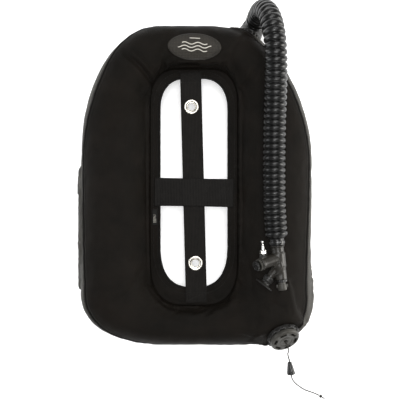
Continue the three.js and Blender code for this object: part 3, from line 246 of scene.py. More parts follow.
materials = {
    "front": wovenNylon("coatedNylonFront", {
        "threadMm": 1.5, "dark": "#0c0a07", "light": "#15110d", "cloudScale": 22.0, "crumple": 0.45,
        "weave": 0.55, "roughness": 0.55, "specular": 0.07, "sheen": 0.01}),
    "side": wovenNylon("ballisticNylonSide", {
        "threadMm": 2.0, "dark": "#2c2a26", "light": "#3a3832", "cloudScale": 60.0, "crumple": 0.3,
        "weave": 1.0, "roughness": 0.6, "specular": 0.25, "sheen": 0.06}),
    "binding": wovenTape("grosgrainBinding", {
        "ribsAlong": "X", "ribMm": 1.6, "yarnMm": 0.9, "dark": "#070605", "light": "#110e0b",
        "bump": 0.7, "sheen": 0.01}),
    "webbing": wovenTape("nylonWebbing", {
        "ribsAlong": "Y", "ribMm": 2.6, "yarnMm": 1.5, "dark": "#090807", "light": "#191613",
        "bump": 0.9, "sheen": 0.01}),
    "elastic": wovenTape("ribbedElastic", {
        "ribsAlong": "X", "ribMm": 2.8, "yarnMm": 1.3, "dark": "#0a0908", "light": "#1c1a18",
        "bump": 1.0, "sheen": 0.01}),
    "thread": wovenTape("bondedThread", {
        "ribsAlong": "X", "ribMm": 0.8, "yarnMm": 0.5, "dark": "#171614", "light": "#2f2c28",
        "bump": 0.4, "sheen": 0.04}),
    "cord": wovenTape("braidedNylonCord", {
        "ribsAlong": "X", "ribMm": 1.2, "yarnMm": 0.7, "dark": "#191816", "light": "#35332f",
        "bump": 0.5, "sheen": 0.05}),
    "hose": softRubber("corrugatedRubber", {
        "dark": "#060606", "light": "#0c0c0b", "roughness": 0.3, "specular": 0.34}),
    "seal": softRubber("siliconeRubber", {
        "dark": "#121211", "light": "#1e1d1b", "roughness": 0.38, "specular": 0.35}),
    "black": mouldedPlastic("blackAbs", {
        "dark": "#100f0e", "light": "#191816", "roughness": 0.36, "grainMm": 0.9, "grain": 0.35,
        "ior": 1.54, "specular": 0.3}),
    "inflator": mouldedPlastic("glassFilledNylon", {
        "dark": "#191713", "light": "#25221d", "roughness": 0.36, "grainMm": 0.8, "grain": 0.45,
        "ior": 1.53, "specular": 0.35}),
    "grey": mouldedPlastic("greyAcetal", {
        "dark": "#2a2925", "light": "#373530", "roughness": 0.42, "grainMm": 0.8, "grain": 0.35,
        "ior": 1.48, "specular": 0.35}),
    "gloss": mouldedPlastic("polishedAbs", {
        "dark": "#0d0d0c", "light": "#151413", "roughness": 0.22, "grainMm": 1.2, "grain": 0.12,
        "ior": 1.54, "specular": 0.35}),
    "nickel": platedMetal("nickelPlate", {"dark": "#a8a49b", "light": "#d2cec5", "roughness": 0.2}),
    "chrome": platedMetal("chromedBrass", {"dark": "#b5b3af", "light": "#d6d4d0", "roughness": 0.12}),
    "steel": platedMetal("springSteel", {"dark": "#8e8d89", "light": "#b5b4b0", "roughness": 0.28}),
    "enamel": platedMetal("blackenedZinc", {"dark": "#1e1d1c", "light": "#34322f", "roughness": 0.35}),
    "badge": dottedBadge("mouldedPvc", {"dotMm": 2.6, "dark": "#221f1a", "light": "#3a352d"}),
    "badgeLine": softRubber("palePvc", {
        "dark": "#bfbbb0", "light": "#d6d2c8", "roughness": 0.5, "specular": 0.4}),
    "badgeRim": softRubber("darkPvc", {
        "dark": "#1a1814", "light": "#28241f", "roughness": 0.45, "specular": 0.3}),
    "label": wovenTape("satinLabel", {
        "ribsAlong": "X", "ribMm": 1.0, "yarnMm": 0.8, "dark": "#0f0f0e", "light": "#1c1b19",
        "bump": 0.2, "sheen": 0.1}),
    "film": mouldedPlastic("urethaneFilm", {
        "dark": "#1d2126", "light": "#272c33", "roughness": 0.3, "grainMm": 2.0, "grain": 0.1,
        "ior": 1.5, "specular": 0.5}),
}
print("materials made")


# ---- camera, floor and light ----

viewValues = {"height": 1.5, "across": 0.7164, "middle": onWing(6.3, -26.0, 55)}
cameraData = bpy.data.cameras.new("Camera")
cameraData.sensor_width = 36
cameraData.lens = 36 / viewValues["across"] * viewValues["height"]
camera = bpy.data.objects.new("Camera", cameraData)
camera.location = viewValues["middle"] + Vector((0, 0, viewValues["height"]))
bpy.context.collection.objects.link(camera)
bpy.context.scene.camera = camera
bpy.context.scene.view_settings.view_transform = "Standard"

lightValues = [
    # name, place, size, watts, color
    ("softboxOver", (0.05, 0.1, 2.5), 0.9, 34, "#ffffff"),
    ("softboxHead", (0.4, 1.4, 1.7), 1.2, 20, "#ffffff"),
    ("softboxHose", (1.7, -0.1, 0.5), 0.9, 26, "#fffdf8"),
    ("softboxLeft", (-1.7, 0.2, 0.6), 0.9, 11, "#f8fbff"),
    ("softboxFoot", (0.1, -1.7, 0.9), 1.0, 7, "#ffffff"),
]


def addLights():
    target = Vector((0, 0, 0.05))
    for name, place, size, watts, hexColor in lightValues:
        lamp = bpy.data.lights.new(name, "AREA")
        lamp.energy = watts
        lamp.size = size
        lamp.color = srgb(hexColor)[:3]
        holder = bpy.data.objects.new(name, lamp)
        holder.location = place
        holder.rotation_euler = (target - holder.location).to_track_quat("-Z", "Y").to_euler()
        bpy.context.collection.objects.link(holder)
    world = bpy.data.worlds.new("studio")
    world.use_nodes = True
    bpy.context.scene.world = world
    world.node_tree.nodes["Background"].inputs["Color"].default_value = srgb("#ffffff")
    world.node_tree.nodes["Background"].inputs["Strength"].default_value = 0.28


def addFloor():
    material, tree = startMaterial("litPaper")  # matt paper on a light table, so it shows no grey shadow
    endMaterial(tree, {"Base Color": srgb("#f7f7f7"), "Roughness": 0.95, "Specular IOR Level": 0.1,
                       "Emission Color": srgb("#ffffff"), "Emission Strength": 0.5})
    half, level = 6, -0.0006
    mesh = bpy.data.meshes.new("floor")
    mesh.from_pydata([(x * half, y * half, level) for x, y in ((-1, -1), (1, -1), (1, 1), (-1, 1))], [],
                     [(0, 1, 2, 3)])
    mesh.materials.append(material)
    floor = bpy.data.objects.new("floor", mesh)
    bpy.context.collection.objects.link(floor)


addLights()
addFloor()
print("camera, lights and floor ready")


# ---- mesh helpers ----

def closedLoop(points):
    return np.concatenate([points, points[:1]])


def runAlong(points):
    # the distance travelled at each point of a line
    return np.concatenate([[0], np.cumsum(np.linalg.norm(np.diff(points, axis=0), axis=1))])


def runAcross(grid):
    # the same along every row of a grid
    steps = np.linalg.norm(np.diff(grid, axis=1), axis=-1)
    return np.concatenate([np.zeros((len(grid), 1)), np.cumsum(steps, axis=1)], axis=1)


def asRows(vectors):
    return np.array([tuple(vector) for vector in vectors])


def facingUp(count, side=1.0):
    return np.tile([0, 0, float(side)], (count, 1))


def shifted(matrix, x, y, z):
    # a frame moved along its own axes, in millimetres
    return matrix @ Matrix.Translation(mm(x, y, z))


def addObject(name, mesh, look, body="root", node=None):
    # look names the finish and node the CAD piece that this one stands in for; a list is joined first
    mesh = joinMeshes(name, mesh) if isinstance(mesh, list) else mesh
    made = bpy.data.objects.new(name, mesh)
    bpy.context.collection.objects.link(made)
    mesh.materials.append(materials[look])
    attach(made, body)
    if node:
        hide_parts(node)
    return made


def gridMesh(name, points, closeRows=False, closeColumns=False, uvRows=None, uvColumns=None, flip=False):
    # a mesh from a grid of points, with UVs in metres along its rows and columns
    points = np.asarray(points, dtype=float)
    rows, columns = points.shape[:2]
    rowCount = rows if closeRows else rows - 1
    columnCount = columns if closeColumns else columns - 1
    i, j = np.meshgrid(np.arange(rowCount), np.arange(columnCount), indexing="ij")
    i, j = i.ravel(), j.ravel()
    corners = [(i, j), (i + 1, j), (i + 1, j + 1), (i, j + 1)]
    if flip:
        corners.reverse()
    faces = np.stack([(a % rows) * columns + (b % columns) for a, b in corners], axis=1)
    mesh = bpy.data.meshes.new(name)
    mesh.from_pydata(points.reshape(-1, 3).tolist(), [], faces.tolist())
    if uvRows is None:
        uvRows = runAlong(closedLoop(points[:, 0]))
    if uvColumns is None:
        uvColumns = runAlong(closedLoop(points[rows // 2]))
    uv = np.stack([np.stack([uvRows[a], uvColumns[b]], axis=-1) for a, b in corners], axis=1)
    layer = mesh.uv_layers.new(name="UVMap")
    layer.data.foreach_set("uv", uv.ravel())
    mesh.polygons.foreach_set("use_smooth", np.ones(len(mesh.polygons), dtype=bool))
    return mesh


def joinMeshes(name, meshes):
    joined = bmesh.new()
    for mesh in meshes:
        joined.from_mesh(mesh)
        bpy.data.meshes.remove(mesh)
    mesh = bpy.data.meshes.new(name)
    joined.to_mesh(mesh)
    joined.free()
    return mesh


def moved(points, matrix):
    points = np.asarray(points, dtype=float)
    turn = np.array(matrix.to_3x3())
    return points @ turn.T + np.array(matrix.translation)


def roundedProfile(profile, radius, steps=3):
    # cuts each corner of a turned profile with a small round, as a mould does
    result = []
    count = len(profile)
    for index, (r, h) in enumerate(profile):
        here = Vector((r, h))
        if index in (0, count - 1):
            result.append((r, h))
            continue
        before = Vector(profile[index - 1]) - here
        after = Vector(profile[index + 1]) - here
        reach = min(radius, before.length * 0.45, after.length * 0.45)
        first = here + before.normalized() * reach
        last = here + after.normalized() * reach
        for step in range(steps + 1):
            share = step / steps
            point = first * (1 - share) ** 2 + here * 2 * share * (1 - share) + last * share ** 2
            result.append((point.x, point.y))
    return result


def latheMesh(name, profile, matrix, segments=64, bevel=0.4, ripple=None):
    # turns a profile of (radius, height) in millimetres about Y; it runs up the outside and down the inside
    profile = roundedProfile(profile, bevel) if bevel else profile
    angles = np.linspace(0, 2 * math.pi, segments, endpoint=False)
    radius = np.array([r for r, h in profile])[None, :] / 1000
    height = np.array([h for r, h in profile])[None, :] / 1000
    radius = np.repeat(radius, segments, axis=0)
    if ripple is not None:
        radius = radius + ripple(angles[:, None], radius, height)
    points = np.stack([radius * np.cos(angles)[:, None], height + 0 * radius,
                       -radius * np.sin(angles)[:, None]], axis=-1)
    points = moved(points, matrix)
    around = float(np.max(radius)) * 2 * math.pi
    mesh = gridMesh(name, points, closeRows=True, uvRows=np.linspace(0, around, segments + 1), flip=True)
    return cleaned(mesh)


def axisMatrix(place, axis, towards=None):
    # local Y along the axis, local Z as near to towards as that leaves
    axis = Vector(axis).normalized()
    towards = Vector(towards) if towards is not None else up
    if abs(axis.dot(towards.normalized())) > 0.99:
        towards = Vector((0, 1, 0))
    third = (towards - axis * towards.dot(axis)).normalized()
    first = axis.cross(third)
    turn = Matrix((first, axis, third)).transposed().to_4x4()
    return Matrix.Translation(place) @ turn


def smoothPath(points, steps):
    # an even-paced centripetal curve through the points
    points = [Vector(p) for p in points]
    ends = [points[0] * 2 - points[1], *points, points[-1] * 2 - points[-2]]
    dense = []
    for index in range(1, len(ends) - 2):
        p0, p1, p2, p3 = ends[index - 1:index + 3]
        t0 = 0
        t1 = t0 + math.sqrt((p1 - p0).length)
        t2 = t1 + math.sqrt((p2 - p1).length)
        t3 = t2 + math.sqrt((p3 - p2).length)
        for step in range(24):
            t = t1 + (t2 - t1) * step / 24
            a1 = p0 * ((t1 - t) / (t1 - t0)) + p1 * ((t - t0) / (t1 - t0))
            a2 = p1 * ((t2 - t) / (t2 - t1)) + p2 * ((t - t1) / (t2 - t1))
            a3 = p2 * ((t3 - t) / (t3 - t2)) + p3 * ((t - t2) / (t3 - t2))
            b1 = a1 * ((t2 - t) / (t2 - t0)) + a2 * ((t - t0) / (t2 - t0))
            b2 = a2 * ((t3 - t) / (t3 - t1)) + a3 * ((t - t1) / (t3 - t1))
            dense.append(b1 * ((t2 - t) / (t2 - t1)) + b2 * ((t - t1) / (t2 - t1)))
    dense.append(points[-1])
    dense = asRows(dense)
    run = runAlong(dense)
    wanted = np.linspace(0, run[-1], steps) if np.isscalar(steps) else np.asarray(steps) * run[-1]
    return np.stack([np.interp(wanted, run, dense[:, k]) for k in range(3)], axis=1), float(run[-1])


def tubeGrid(path, radii, sides):
    # rings round a path, carried along without twisting
    path = np.asarray(path, dtype=float)
    tangents = np.gradient(path, axis=0)
    tangents /= np.linalg.norm(tangents, axis=1)[:, None]
    side = np.cross(tangents[0], (0.31, 0.22, 0.93))  # any direction that no path starts in
    side /= np.linalg.norm(side)
    angles = np.linspace(0, 2 * math.pi, sides, endpoint=False)
    rings = []
    for index, tangent in enumerate(tangents):
        side = side - tangent * side.dot(tangent)
        side /= np.linalg.norm(side)
        other = np.cross(tangent, side)
        radius = np.broadcast_to(radii[index], (sides,))
        rings.append(path[index] + (radius * np.cos(angles))[:, None] * side
                     + (radius * np.sin(angles))[:, None] * other)
    return np.array(rings)


def tubeMesh(name, path, radii, sides=16, capped=True):
    rings = tubeGrid(path, radii, sides)
    if capped:
        path = np.asarray(path)
        first = np.repeat(path[:1], sides, axis=0)[None]
        last = np.repeat(path[-1:], sides, axis=0)[None]
        rings = np.concatenate([first, rings, last], axis=0)
    mesh = gridMesh(name, rings, closeColumns=True)
    return cleaned(mesh, 1e-7) if capped else mesh


def stitchMesh(name, points, normals, pitch=0.0042, length=0.0029, width=0.0011, lift=0.00015):
    # a row of separate stitches, each a short round thread that dips into the cloth at both ends
    points = np.asarray(points, dtype=float)
    normals = np.asarray(normals, dtype=float)
    run = runAlong(points)

    def sample(rows, place):
        return np.array([np.interp(place, run, rows[:, k]) for k in range(3)])
    count = max(1, int(run[-1] / pitch))
    sides, rings = 6, 5
    angles = np.linspace(0, 2 * math.pi, sides, endpoint=False)
    vertices, faces = [], []
    for stitch in range(count):
        middle = (stitch + 0.5) * run[-1] / count
        place, normal = sample(points, middle), sample(normals, middle)
        normal /= np.linalg.norm(normal)
        along = sample(points, middle + length / 2) - sample(points, middle - length / 2)
        along /= np.linalg.norm(along)
        across = np.cross(along, normal)
        base = len(vertices)
        for ring in range(rings):
            share = 2 * ring / (rings - 1) - 1
            swell = math.sqrt(max(0.0, 1 - share * share)) * 0.85 + 0.15
            centre = place + along * (share * length / 2) + normal * (lift + width * 0.3 * (1 - share * share)
                                                                    - width * 0.25 * share * share)
            for angle in angles:
                vertices.append(centre + (across * math.cos(angle) + normal * math.sin(angle) * 0.8)
                                * (width / 2 * swell))
        for ring in range(rings - 1):
            for step in range(sides):
                a = base + ring * sides + step
                b = base + ring * sides + (step + 1) % sides
                faces.append((a, a + sides, b + sides, b))
        faces.append(tuple(base + step for step in range(sides)))
        faces.append(tuple(base + (rings - 1) * sides + step for step in reversed(range(sides))))
    mesh = bpy.data.meshes.new(name)
    mesh.from_pydata([tuple(v) for v in vertices], [], faces)
    mesh.polygons.foreach_set("use_smooth", np.ones(len(mesh.polygons), dtype=bool))
    return mesh


def cleaned(mesh, weld=1e-6, fill=0):
    # welds coincident points, closes open ends if asked and turns every face outwards
    shape = bmesh.new()
    shape.from_mesh(mesh)
    if weld:
        bmesh.ops.remove_doubles(shape, verts=shape.verts, dist=weld)
    if fill:
        bmesh.ops.holes_fill(shape, edges=[e for e in shape.edges if e.is_boundary], sides=fill)
    bmesh.ops.recalc_face_normals(shape, faces=shape.faces)
    shape.to_mesh(mesh)
    shape.free()
    return mesh


def cutMesh(mesh, cutters):
    # takes closed cutters out of a closed solid, one after another
    work = bpy.data.objects.new(mesh.name + "Work", mesh)
    bpy.context.collection.objects.link(work)
    for cutter in cutters:
        tool = bpy.data.objects.new("cutter", cutter)
        bpy.context.collection.objects.link(tool)
        boolean = work.modifiers.new("Cut", "BOOLEAN")
        boolean.operation = "DIFFERENCE"
        boolean.solver = "EXACT"
        boolean.object = tool
        graph = bpy.context.evaluated_depsgraph_get()
        result = bpy.data.meshes.new_from_object(work.evaluated_get(graph))
        work.modifiers.remove(boolean)
        old = work.data
        work.data = result
        bpy.data.meshes.remove(old)
        bpy.data.objects.remove(tool)
        bpy.data.meshes.remove(cutter)
    result = work.data
    bpy.data.objects.remove(work)
    return result


def fusedMesh(name, meshes, voxel, smoothing):
    # fuses overlapping solids into one moulding with small fillets where they meet
    mesh = joinMeshes(name, meshes)
    work = bpy.data.objects.new(name + "Work", mesh)
    bpy.context.collection.objects.link(work)
    remesh = work.modifiers.new("Remesh", "REMESH")
    remesh.mode = "VOXEL"
    remesh.voxel_size = voxel
    soften = work.modifiers.new("Soften", "SMOOTH")
    soften.factor = 0.5
    soften.iterations = smoothing
    graph = bpy.context.evaluated_depsgraph_get()
    fused = bpy.data.meshes.new_from_object(work.evaluated_get(graph))
    fused.name = name
    bpy.data.objects.remove(work)
    bpy.data.meshes.remove(mesh)
    fused.polygons.foreach_set("use_smooth", np.ones(len(fused.polygons), dtype=bool))
    return fused


def boxMesh(name, size, matrix, bevel=0.0004, segments=2):
    # a moulded block with rounded edges, size in metres
    made = bmesh.new()
    bmesh.ops.create_cube(made, size=1)
    bmesh.ops.scale(made, vec=size, verts=made.verts)
    bmesh.ops.bevel(made, geom=made.edges[:], offset=bevel, segments=segments, affect="EDGES", profile=0.6)
    bmesh.ops.transform(made, matrix=matrix, verts=made.verts)
    mesh = bpy.data.meshes.new(name)
    made.to_mesh(mesh)
    made.free()
    mesh.polygons.foreach_set("use_smooth", np.ones(len(mesh.polygons), dtype=bool))
    return mesh


def smoothByAngle(obj, degrees=35):
    # crisp edges where a moulding turns sharply, smooth elsewhere
    shape = bmesh.new()
    shape.from_mesh(obj.data)
    for edge in shape.edges:
        if len(edge.link_faces) == 2:
            edge.smooth = edge.calc_face_angle(0) < math.radians(degrees)
    for face in shape.faces:
        face.smooth = True
    shape.to_mesh(obj.data)
    shape.free()


# ---- where the mouldings sit ----

portMatrix = axisMatrix(onWing(90.781, 262.802, 32.507), (0.42553, 0.84092, -0.33434), up)
dumpMatrix = axisMatrix(onWing(149.755, -259.795, 88.733), (0.29981, -0.67956, 0.66956), up)
inflatorMatrix = axisMatrix(onWing(136.6, -88.4, 131), (-0.08716, 0.99619, 0), up)
elbowCentre = portMatrix @ mm(0, 28, 0)
elbowMatrix = axisMatrix(elbowCentre, portMatrix.to_3x3() @ up, portMatrix.to_3x3() @ Vector((0, 1, 0)))


# ---- corrugated hose ----

hoseValues = {
    "radiusMm": 19.2, "grooveMm": 4.4, "topPitchMm": 11.5, "footPitchMm": 9.6, "sides": 40,
    "pointsMm": [
        (108.6, 298.1, 60.2), (110.6, 301.9, 72.2), (113.4, 304, 92), (117, 301.5, 112),
        (120.8, 293.5, 131), (124.6, 280.8, 147), (127.8, 264.5, 158.5), (130.3, 245.5, 164.5),
        (132, 225, 165), (133.1, 204, 161), (133.6, 182, 154.5), (133.6, 158, 147),
        (133.4, 132, 140.5), (133, 104, 136), (132.6, 72, 133.8), (132.4, 38, 133),
        (132.4, 4, 133), (132.8, -28, 133), (133.9, -52, 132.2), (135.3, -73.5, 131),
        (136.6, -88.4, 131)],
}


def addHose():
    values = hoseValues
    points = [onWing(*p) for p in values["pointsMm"]]
    length = smoothPath(points, 2)[1]
    stops, place = [0.0], 0.0
    while place < length:
        share = place / length
        place += (values["topPitchMm"] + (values["footPitchMm"] - values["topPitchMm"]) * share) / 1000
        stops.append(place)
    stops = np.array(stops) * length / stops[-1]
    shares, radii = [], []
    for first, last in zip(stops[:-1], stops[1:]):
        for t in (0.0, 0.05, 0.13, 0.25, 0.38, 0.5, 0.62, 0.75, 0.87, 0.95):
            bulge = math.sqrt(max(0.0, 1 - (2 * t - 1) ** 2))  # round crests with narrow grooves
            shares.append((first + (last - first) * t) / length)
            radii.append((values["radiusMm"] - values["grooveMm"] * (1 - bulge)) / 1000)
    shares.append(1.0)
    radii.append((values["radiusMm"] - values["grooveMm"]) / 1000)
    path, length = smoothPath(points, shares)
    mesh = tubeMesh("corrugatedHose", path, radii, values["sides"])
    hose = addObject("corrugatedHose", mesh, "hose", node="inflator_hose")
    cuffs = [
        latheMesh("upperCuff", [(14.7, 0), (17.1, 0), (17.1, 11), (16.2, 12.5), (16.4, 16.8), (15.2, 17.4)],
                  shifted(elbowMatrix, 0, 24.3, 0), 56, 0.6),
        latheMesh("lowerCuff", [(15.4, 2.2), (15.8, 0.4), (14.6, -1.2), (12.5, -2.6), (12.2, -4.2),
                                (12.2, -14.2), (11.6, -14.7), (9.8, -14.7)],
                  inflatorMatrix, 56, 0.6),
    ]
    made = [addObject(cuff.name, cuff, "hose") for cuff in cuffs]
    return hose, path, length, made


hose, hosePath, hoseLength, hoseCuffs = addHose()
print("hose made", round(hoseLength, 4))


# ---- dump cord, bead and knot ----

cordValues = {
    "radiusMm": 1.0, "sides": 12,
    "pointsMm": [
        (152.9, -266.9, 95.8), (154.2, -270, 98.8), (155.7, -273.4, 102.1), (157.8, -278.6, 102.2),
        (160.3, -285.5, 94.5), (162.4, -291.4, 82), (163.7, -296, 66), (164.8, -300.8, 48),
        (166.2, -306, 31), (167.8, -311, 18.5), (169.5, -316, 10), (171.2, -321, 6.2),
        (172, -325.4, 5.4), (175, -349.2, 7.9), (175.6, -353.2, 8), (177.2, -357.5, 6.4),
        (180.2, -362.2, 3.6), (184.6, -366.8, 1.8), (190.5, -371.5, 1.4), (199.9, -377.4, 1.4),
        (210.7, -381.5, 1.4), (220.2, -384.9, 1.6), (227, -388, 2.9)],
    "beadTip": (172, -325.4, 5.4), "beadEnd": (175, -349.2, 7.9),
    "knot": (229.9, -389.3, 3.2), "tail": (0.82, -0.56, -0.1),
}


def addCord():
    values = cordValues
    points = [onWing(*p) for p in values["pointsMm"]]
    path, length = smoothPath(points, 620)
    run = np.linspace(0, length, len(path))
    angles = np.linspace(0, 2 * math.pi, values["sides"], endpoint=False)
    # sixteen-strand braid: two sets of strands that wind opposite ways
    twist = 2 * math.pi * run / 0.0085
    braid = np.maximum(np.abs(np.sin(2 * (angles[None, :] + twist[:, None]))),
                       np.abs(np.sin(2 * (angles[None, :] - twist[:, None]))))
    radii = values["radiusMm"] / 1000 * (0.88 + 0.14 * braid)
    mesh = tubeMesh("dumpCord", path, radii, values["sides"])
    cord = addObject("dumpCord", mesh, "cord", "dump_plunger", "dump_cord")

    tip, end = onWing(*values["beadTip"]), onWing(*values["beadEnd"])

    def grips(angle, radius, height):
        side = (height > 0.005) & (height < 0.019) & (radius > 0.003)
        return -0.00045 * (np.cos(angle * 8) > 0.35) * side
    bead = latheMesh("pullBead", [(1.6, 0), (3.4, 0), (4.2, 4), (7.0, 18), (7.4, 20), (7.3, 22.4), (6, 24),
                                  (1.6, 24), (1.6, 0)], axisMatrix(tip, end - tip), 64, 0.7, grips)
    bead = addObject("pullBead", bead, "gloss", "dump_plunger",
                     "dump_toggle")

    middle, tail = onWing(*values["knot"]), Vector(values["tail"]).normalized()
    loops = []
    side = tail.cross(up).normalized()
    top = side.cross(tail).normalized()
    for step in range(61):
        # an overhand knot is half a trefoil, drawn tight
        t = 2 * math.pi * (step / 60)
        r = 0.0017 + 0.0006 * math.cos(3 * t)
        loops.append(middle + side * (r * math.cos(2 * t)) + top * (r * math.sin(2 * t))
                     + tail * (0.0011 * math.sin(3 * t)))
    knotPath = asRows(loops)
    strands = np.linspace(0, 2 * math.pi, 10, endpoint=False)
    wind = np.linspace(0, 40, len(knotPath))
    knotRadii = 0.00092 * (0.9 + 0.12 * np.abs(np.sin(2 * (strands[None, :] + wind[:, None]))))
    knot = tubeMesh("knotTurns", knotPath, knotRadii, 10, capped=False)
    frayed = smoothPath([middle, middle + tail * 0.004, middle + tail * 0.009 - up * 0.0009], 30)[0]
    tailRadii = np.full(30, 0.001)
    tailRadii[-3:] = (0.00115, 0.0012, 0.0009)
    tailMesh = tubeMesh("knotTail", frayed, tailRadii, 10)
    whole = addObject("stopperKnot", [knot, tailMesh], "cord",
                      "dump_plunger", "cord_knot")
    return cord, path, length, [bead, whole]


dumpCord, cordPath, cordLength, cordPieces = addCord()
print("cord made", round(cordLength, 4))


# ---- the shell: an inflated ring of coated nylon ----

shellValues = {
    "widthMm": 425, "lengthMm": 582, "openingMm": (-81.5, 72.5, -214, 207),
    "seamHeightMm": 55, "sideLoftMm": 58, "endLoftMm": 47, "power": 2.3, "sideSeamDegrees": 44,
    "outer": {"br": (197, 105, 3), "tr": (197, 254, 2.1), "tl": (156, 254, 2.2), "bl": (197, 105, 2.6)},
    "inner": {"br": (62, 80, 2.6), "tr": (50, 60, 2.4), "tl": (50, 60, 2.4), "bl": (62, 80, 2.6)},
    "stations": 300, "frontSteps": 34, "backSteps": 40,
    "startInsetMm": 3.0, "capMm": 4.5, "frames": 20,
    "flangeClearMm": (15, 15, 30, 14),  # left, right, foot and head
    "zipperMm": (18, -172), "zipperDegrees": (-4, -34),
}
clothValues = {
    "quality": 6, "mass": 0.25, "tension_stiffness": 18, "compression_stiffness": 12,
    "shear_stiffness": 6, "bending_stiffness": 0.15, "use_pressure": True,
    "uniform_pressure_force": 4.0, "vertex_group_mass": "held", "vertex_group_shrink": "gathered",
    "shrink_min": -0.022, "shrink_max": 0.03,
}
seats = [(np.array(seat.translation), np.array(seat.to_3x3().col[1])) for seat in (portMatrix, dumpMatrix)]

# radius round a valve's axis and depth along it, in metres, where the cloth, the piping or the film stops
valveValues = {"cloth": (0.0165, 0.02), "piping": (0.0255, 0.02), "film": (0.0245, 0.03)}


def fromSeat(points, place, axis):
    # how far points lie along a valve's axis and away from it
    offset = points - place
    along = offset @ axis
    return along, np.linalg.norm(offset - along[..., None] * axis, axis=-1)


def nearValves(points, layer):
    reach, depth = valveValues[layer]
    near = np.zeros(points.shape[:-1], dtype=bool)
    for place, axis in seats:
        along, away = fromSeat(points, place, axis)
        near |= (away < reach) & (np.abs(along) < depth)
    return near


def openAtValves(mesh, layer):
    # takes out the faces that a valve's threaded stub passes through
    shape = bmesh.new()
    shape.from_mesh(mesh)
    gone = nearValves(asRows(face.calc_center_median() for face in shape.faces), layer)
    bmesh.ops.delete(shape, geom=[face for face, hit in zip(shape.faces, gone) if hit], context="FACES")
    shape.to_mesh(mesh)
    shape.free()


def outline(left, right, bottom, top, corners, steps=220, sideSteps=60):
    order = [("br", -90, right, bottom, 1, -1), ("tr", 0, right, top, 1, 1),
             ("tl", 90, left, top, -1, 1), ("bl", 180, left, bottom, -1, -1)]
    arcs = []
    for key, start, x, y, sx, sy in order:
        wide, tall, power = corners[key]
        angle = np.radians(start + 90 * np.arange(steps + 1) / steps)
        across = np.abs(np.cos(angle)) ** (2 / power)
        along = np.abs(np.sin(angle)) ** (2 / power)
        arcs.append(np.stack([x - sx * wide + sx * wide * across, y - sy * tall + sy * tall * along], axis=1))
    points = []
    for index, arc in enumerate(arcs):
        following = arcs[(index + 1) % 4]
        points.append(arc)
        share = (np.arange(1, sideSteps) / sideSteps)[:, None]
        points.append(arc[-1] * (1 - share) + following[0] * share)
    return np.concatenate(points)


def ringStations(count):
    # pairs of points on the outer edge, the inner edge and the flange's clear edge, evenly round the ring
    v = shellValues
    left, right, bottom, top = v["openingMm"]
    outer = outline(-v["widthMm"] / 2, v["widthMm"] / 2, -v["lengthMm"] / 2, v["lengthMm"] / 2, v["outer"])
    inner = outline(left, right, bottom, top, v["inner"])
    leftWide, rightWide, footWide, headWide = v["flangeClearMm"]
    clear = outline(left + leftWide, right - rightWide, bottom + footWide, top - headWide, v["inner"])
    middle = (outer + inner) / 2
    run = runAlong(closedLoop(middle))
    keep = np.concatenate([[True], np.diff(run) > 1e-9])
    wanted = np.linspace(0, run[-1], count, endpoint=False)

    def sample(points):
        looped = closedLoop(points)
        return np.stack([np.interp(wanted, run[keep], looped[keep, k]) for k in range(2)], axis=1)
    return sample(outer), sample(inner), sample(clear)


def signedPower(value, power):
    return np.sign(value) * np.abs(value) ** power


def pressed(points, under=0.0):
    # flattens the shell under the two valve seats
    for place, axis in seats:
        proud = (points - place) @ axis + under
        points = points - np.maximum(proud, 0)[..., None] * axis
    return points


def shellGrid():
    v = shellValues
    outer, inner = ringStations(v["stations"])[:2]
    outward = outer - inner
    halfWidth = np.linalg.norm(outward, axis=1) / 2
    outward = outward / (2 * halfWidth)[:, None]
    share = outward[:, 0] ** 2
    loft = v["endLoftMm"] + (v["sideLoftMm"] - v["endLoftMm"]) * share
    seam = np.radians(v["sideSeamDegrees"]) * share
    flange = (2.1 / (loft - 1.6)) ** (v["power"] / 2)
    middle = (outer + inner) / 2
    count = v["frontSteps"] + v["backSteps"]
    grid = np.zeros((v["stations"], count + 1, 3))
    angles = np.zeros((v["stations"], count + 1))
    for index in range(v["stations"]):
        for start, end, first, steps in ((math.pi - flange[index], seam[index], 0, v["frontSteps"]),
                                         (seam[index], flange[index] - math.pi, v["frontSteps"],
                                          v["backSteps"])):
            fine = np.linspace(start, end, 200)
            reach = halfWidth[index] * signedPower(np.cos(fine), 2 / v["power"])
            rise = loft[index] * signedPower(np.sin(fine), 2 / v["power"])
            length = np.concatenate([[0], np.cumsum(np.hypot(np.diff(reach), np.diff(rise)))])
            wanted = np.linspace(0, length[-1], steps + 1)
            reach, rise = np.interp(wanted, length, reach), np.interp(wanted, length, rise)
            angles[index, first:first + steps + 1] = np.interp(wanted, length, fine)
            grid[index, first:first + steps + 1, 0] = middle[index, 0] + outward[index, 0] * reach
            grid[index, first:first + steps + 1, 1] = middle[index, 1] + outward[index, 1] * reach
            grid[index, first:first + steps + 1, 2] = np.maximum(v["seamHeightMm"] + rise, 0.2)
    grid = grid / 1000 + np.array(wingMiddle)
    return pressed(grid), angles


def gridNormals(grid, closeColumns=True):
    along = np.roll(grid, -1, axis=0) - np.roll(grid, 1, axis=0)
    if closeColumns:
        across = np.roll(grid, -1, axis=1) - np.roll(grid, 1, axis=1)
    else:
        across = np.gradient(grid, axis=1)
    normal = np.cross(across, along)
    length = np.linalg.norm(normal, axis=-1)[..., None]
    return normal / np.maximum(length, 1e-12)


def smoothStep(low, high, value):
    share = np.clip((value - low) / (high - low), 0, 1)
    return share * share * (3 - 2 * share)


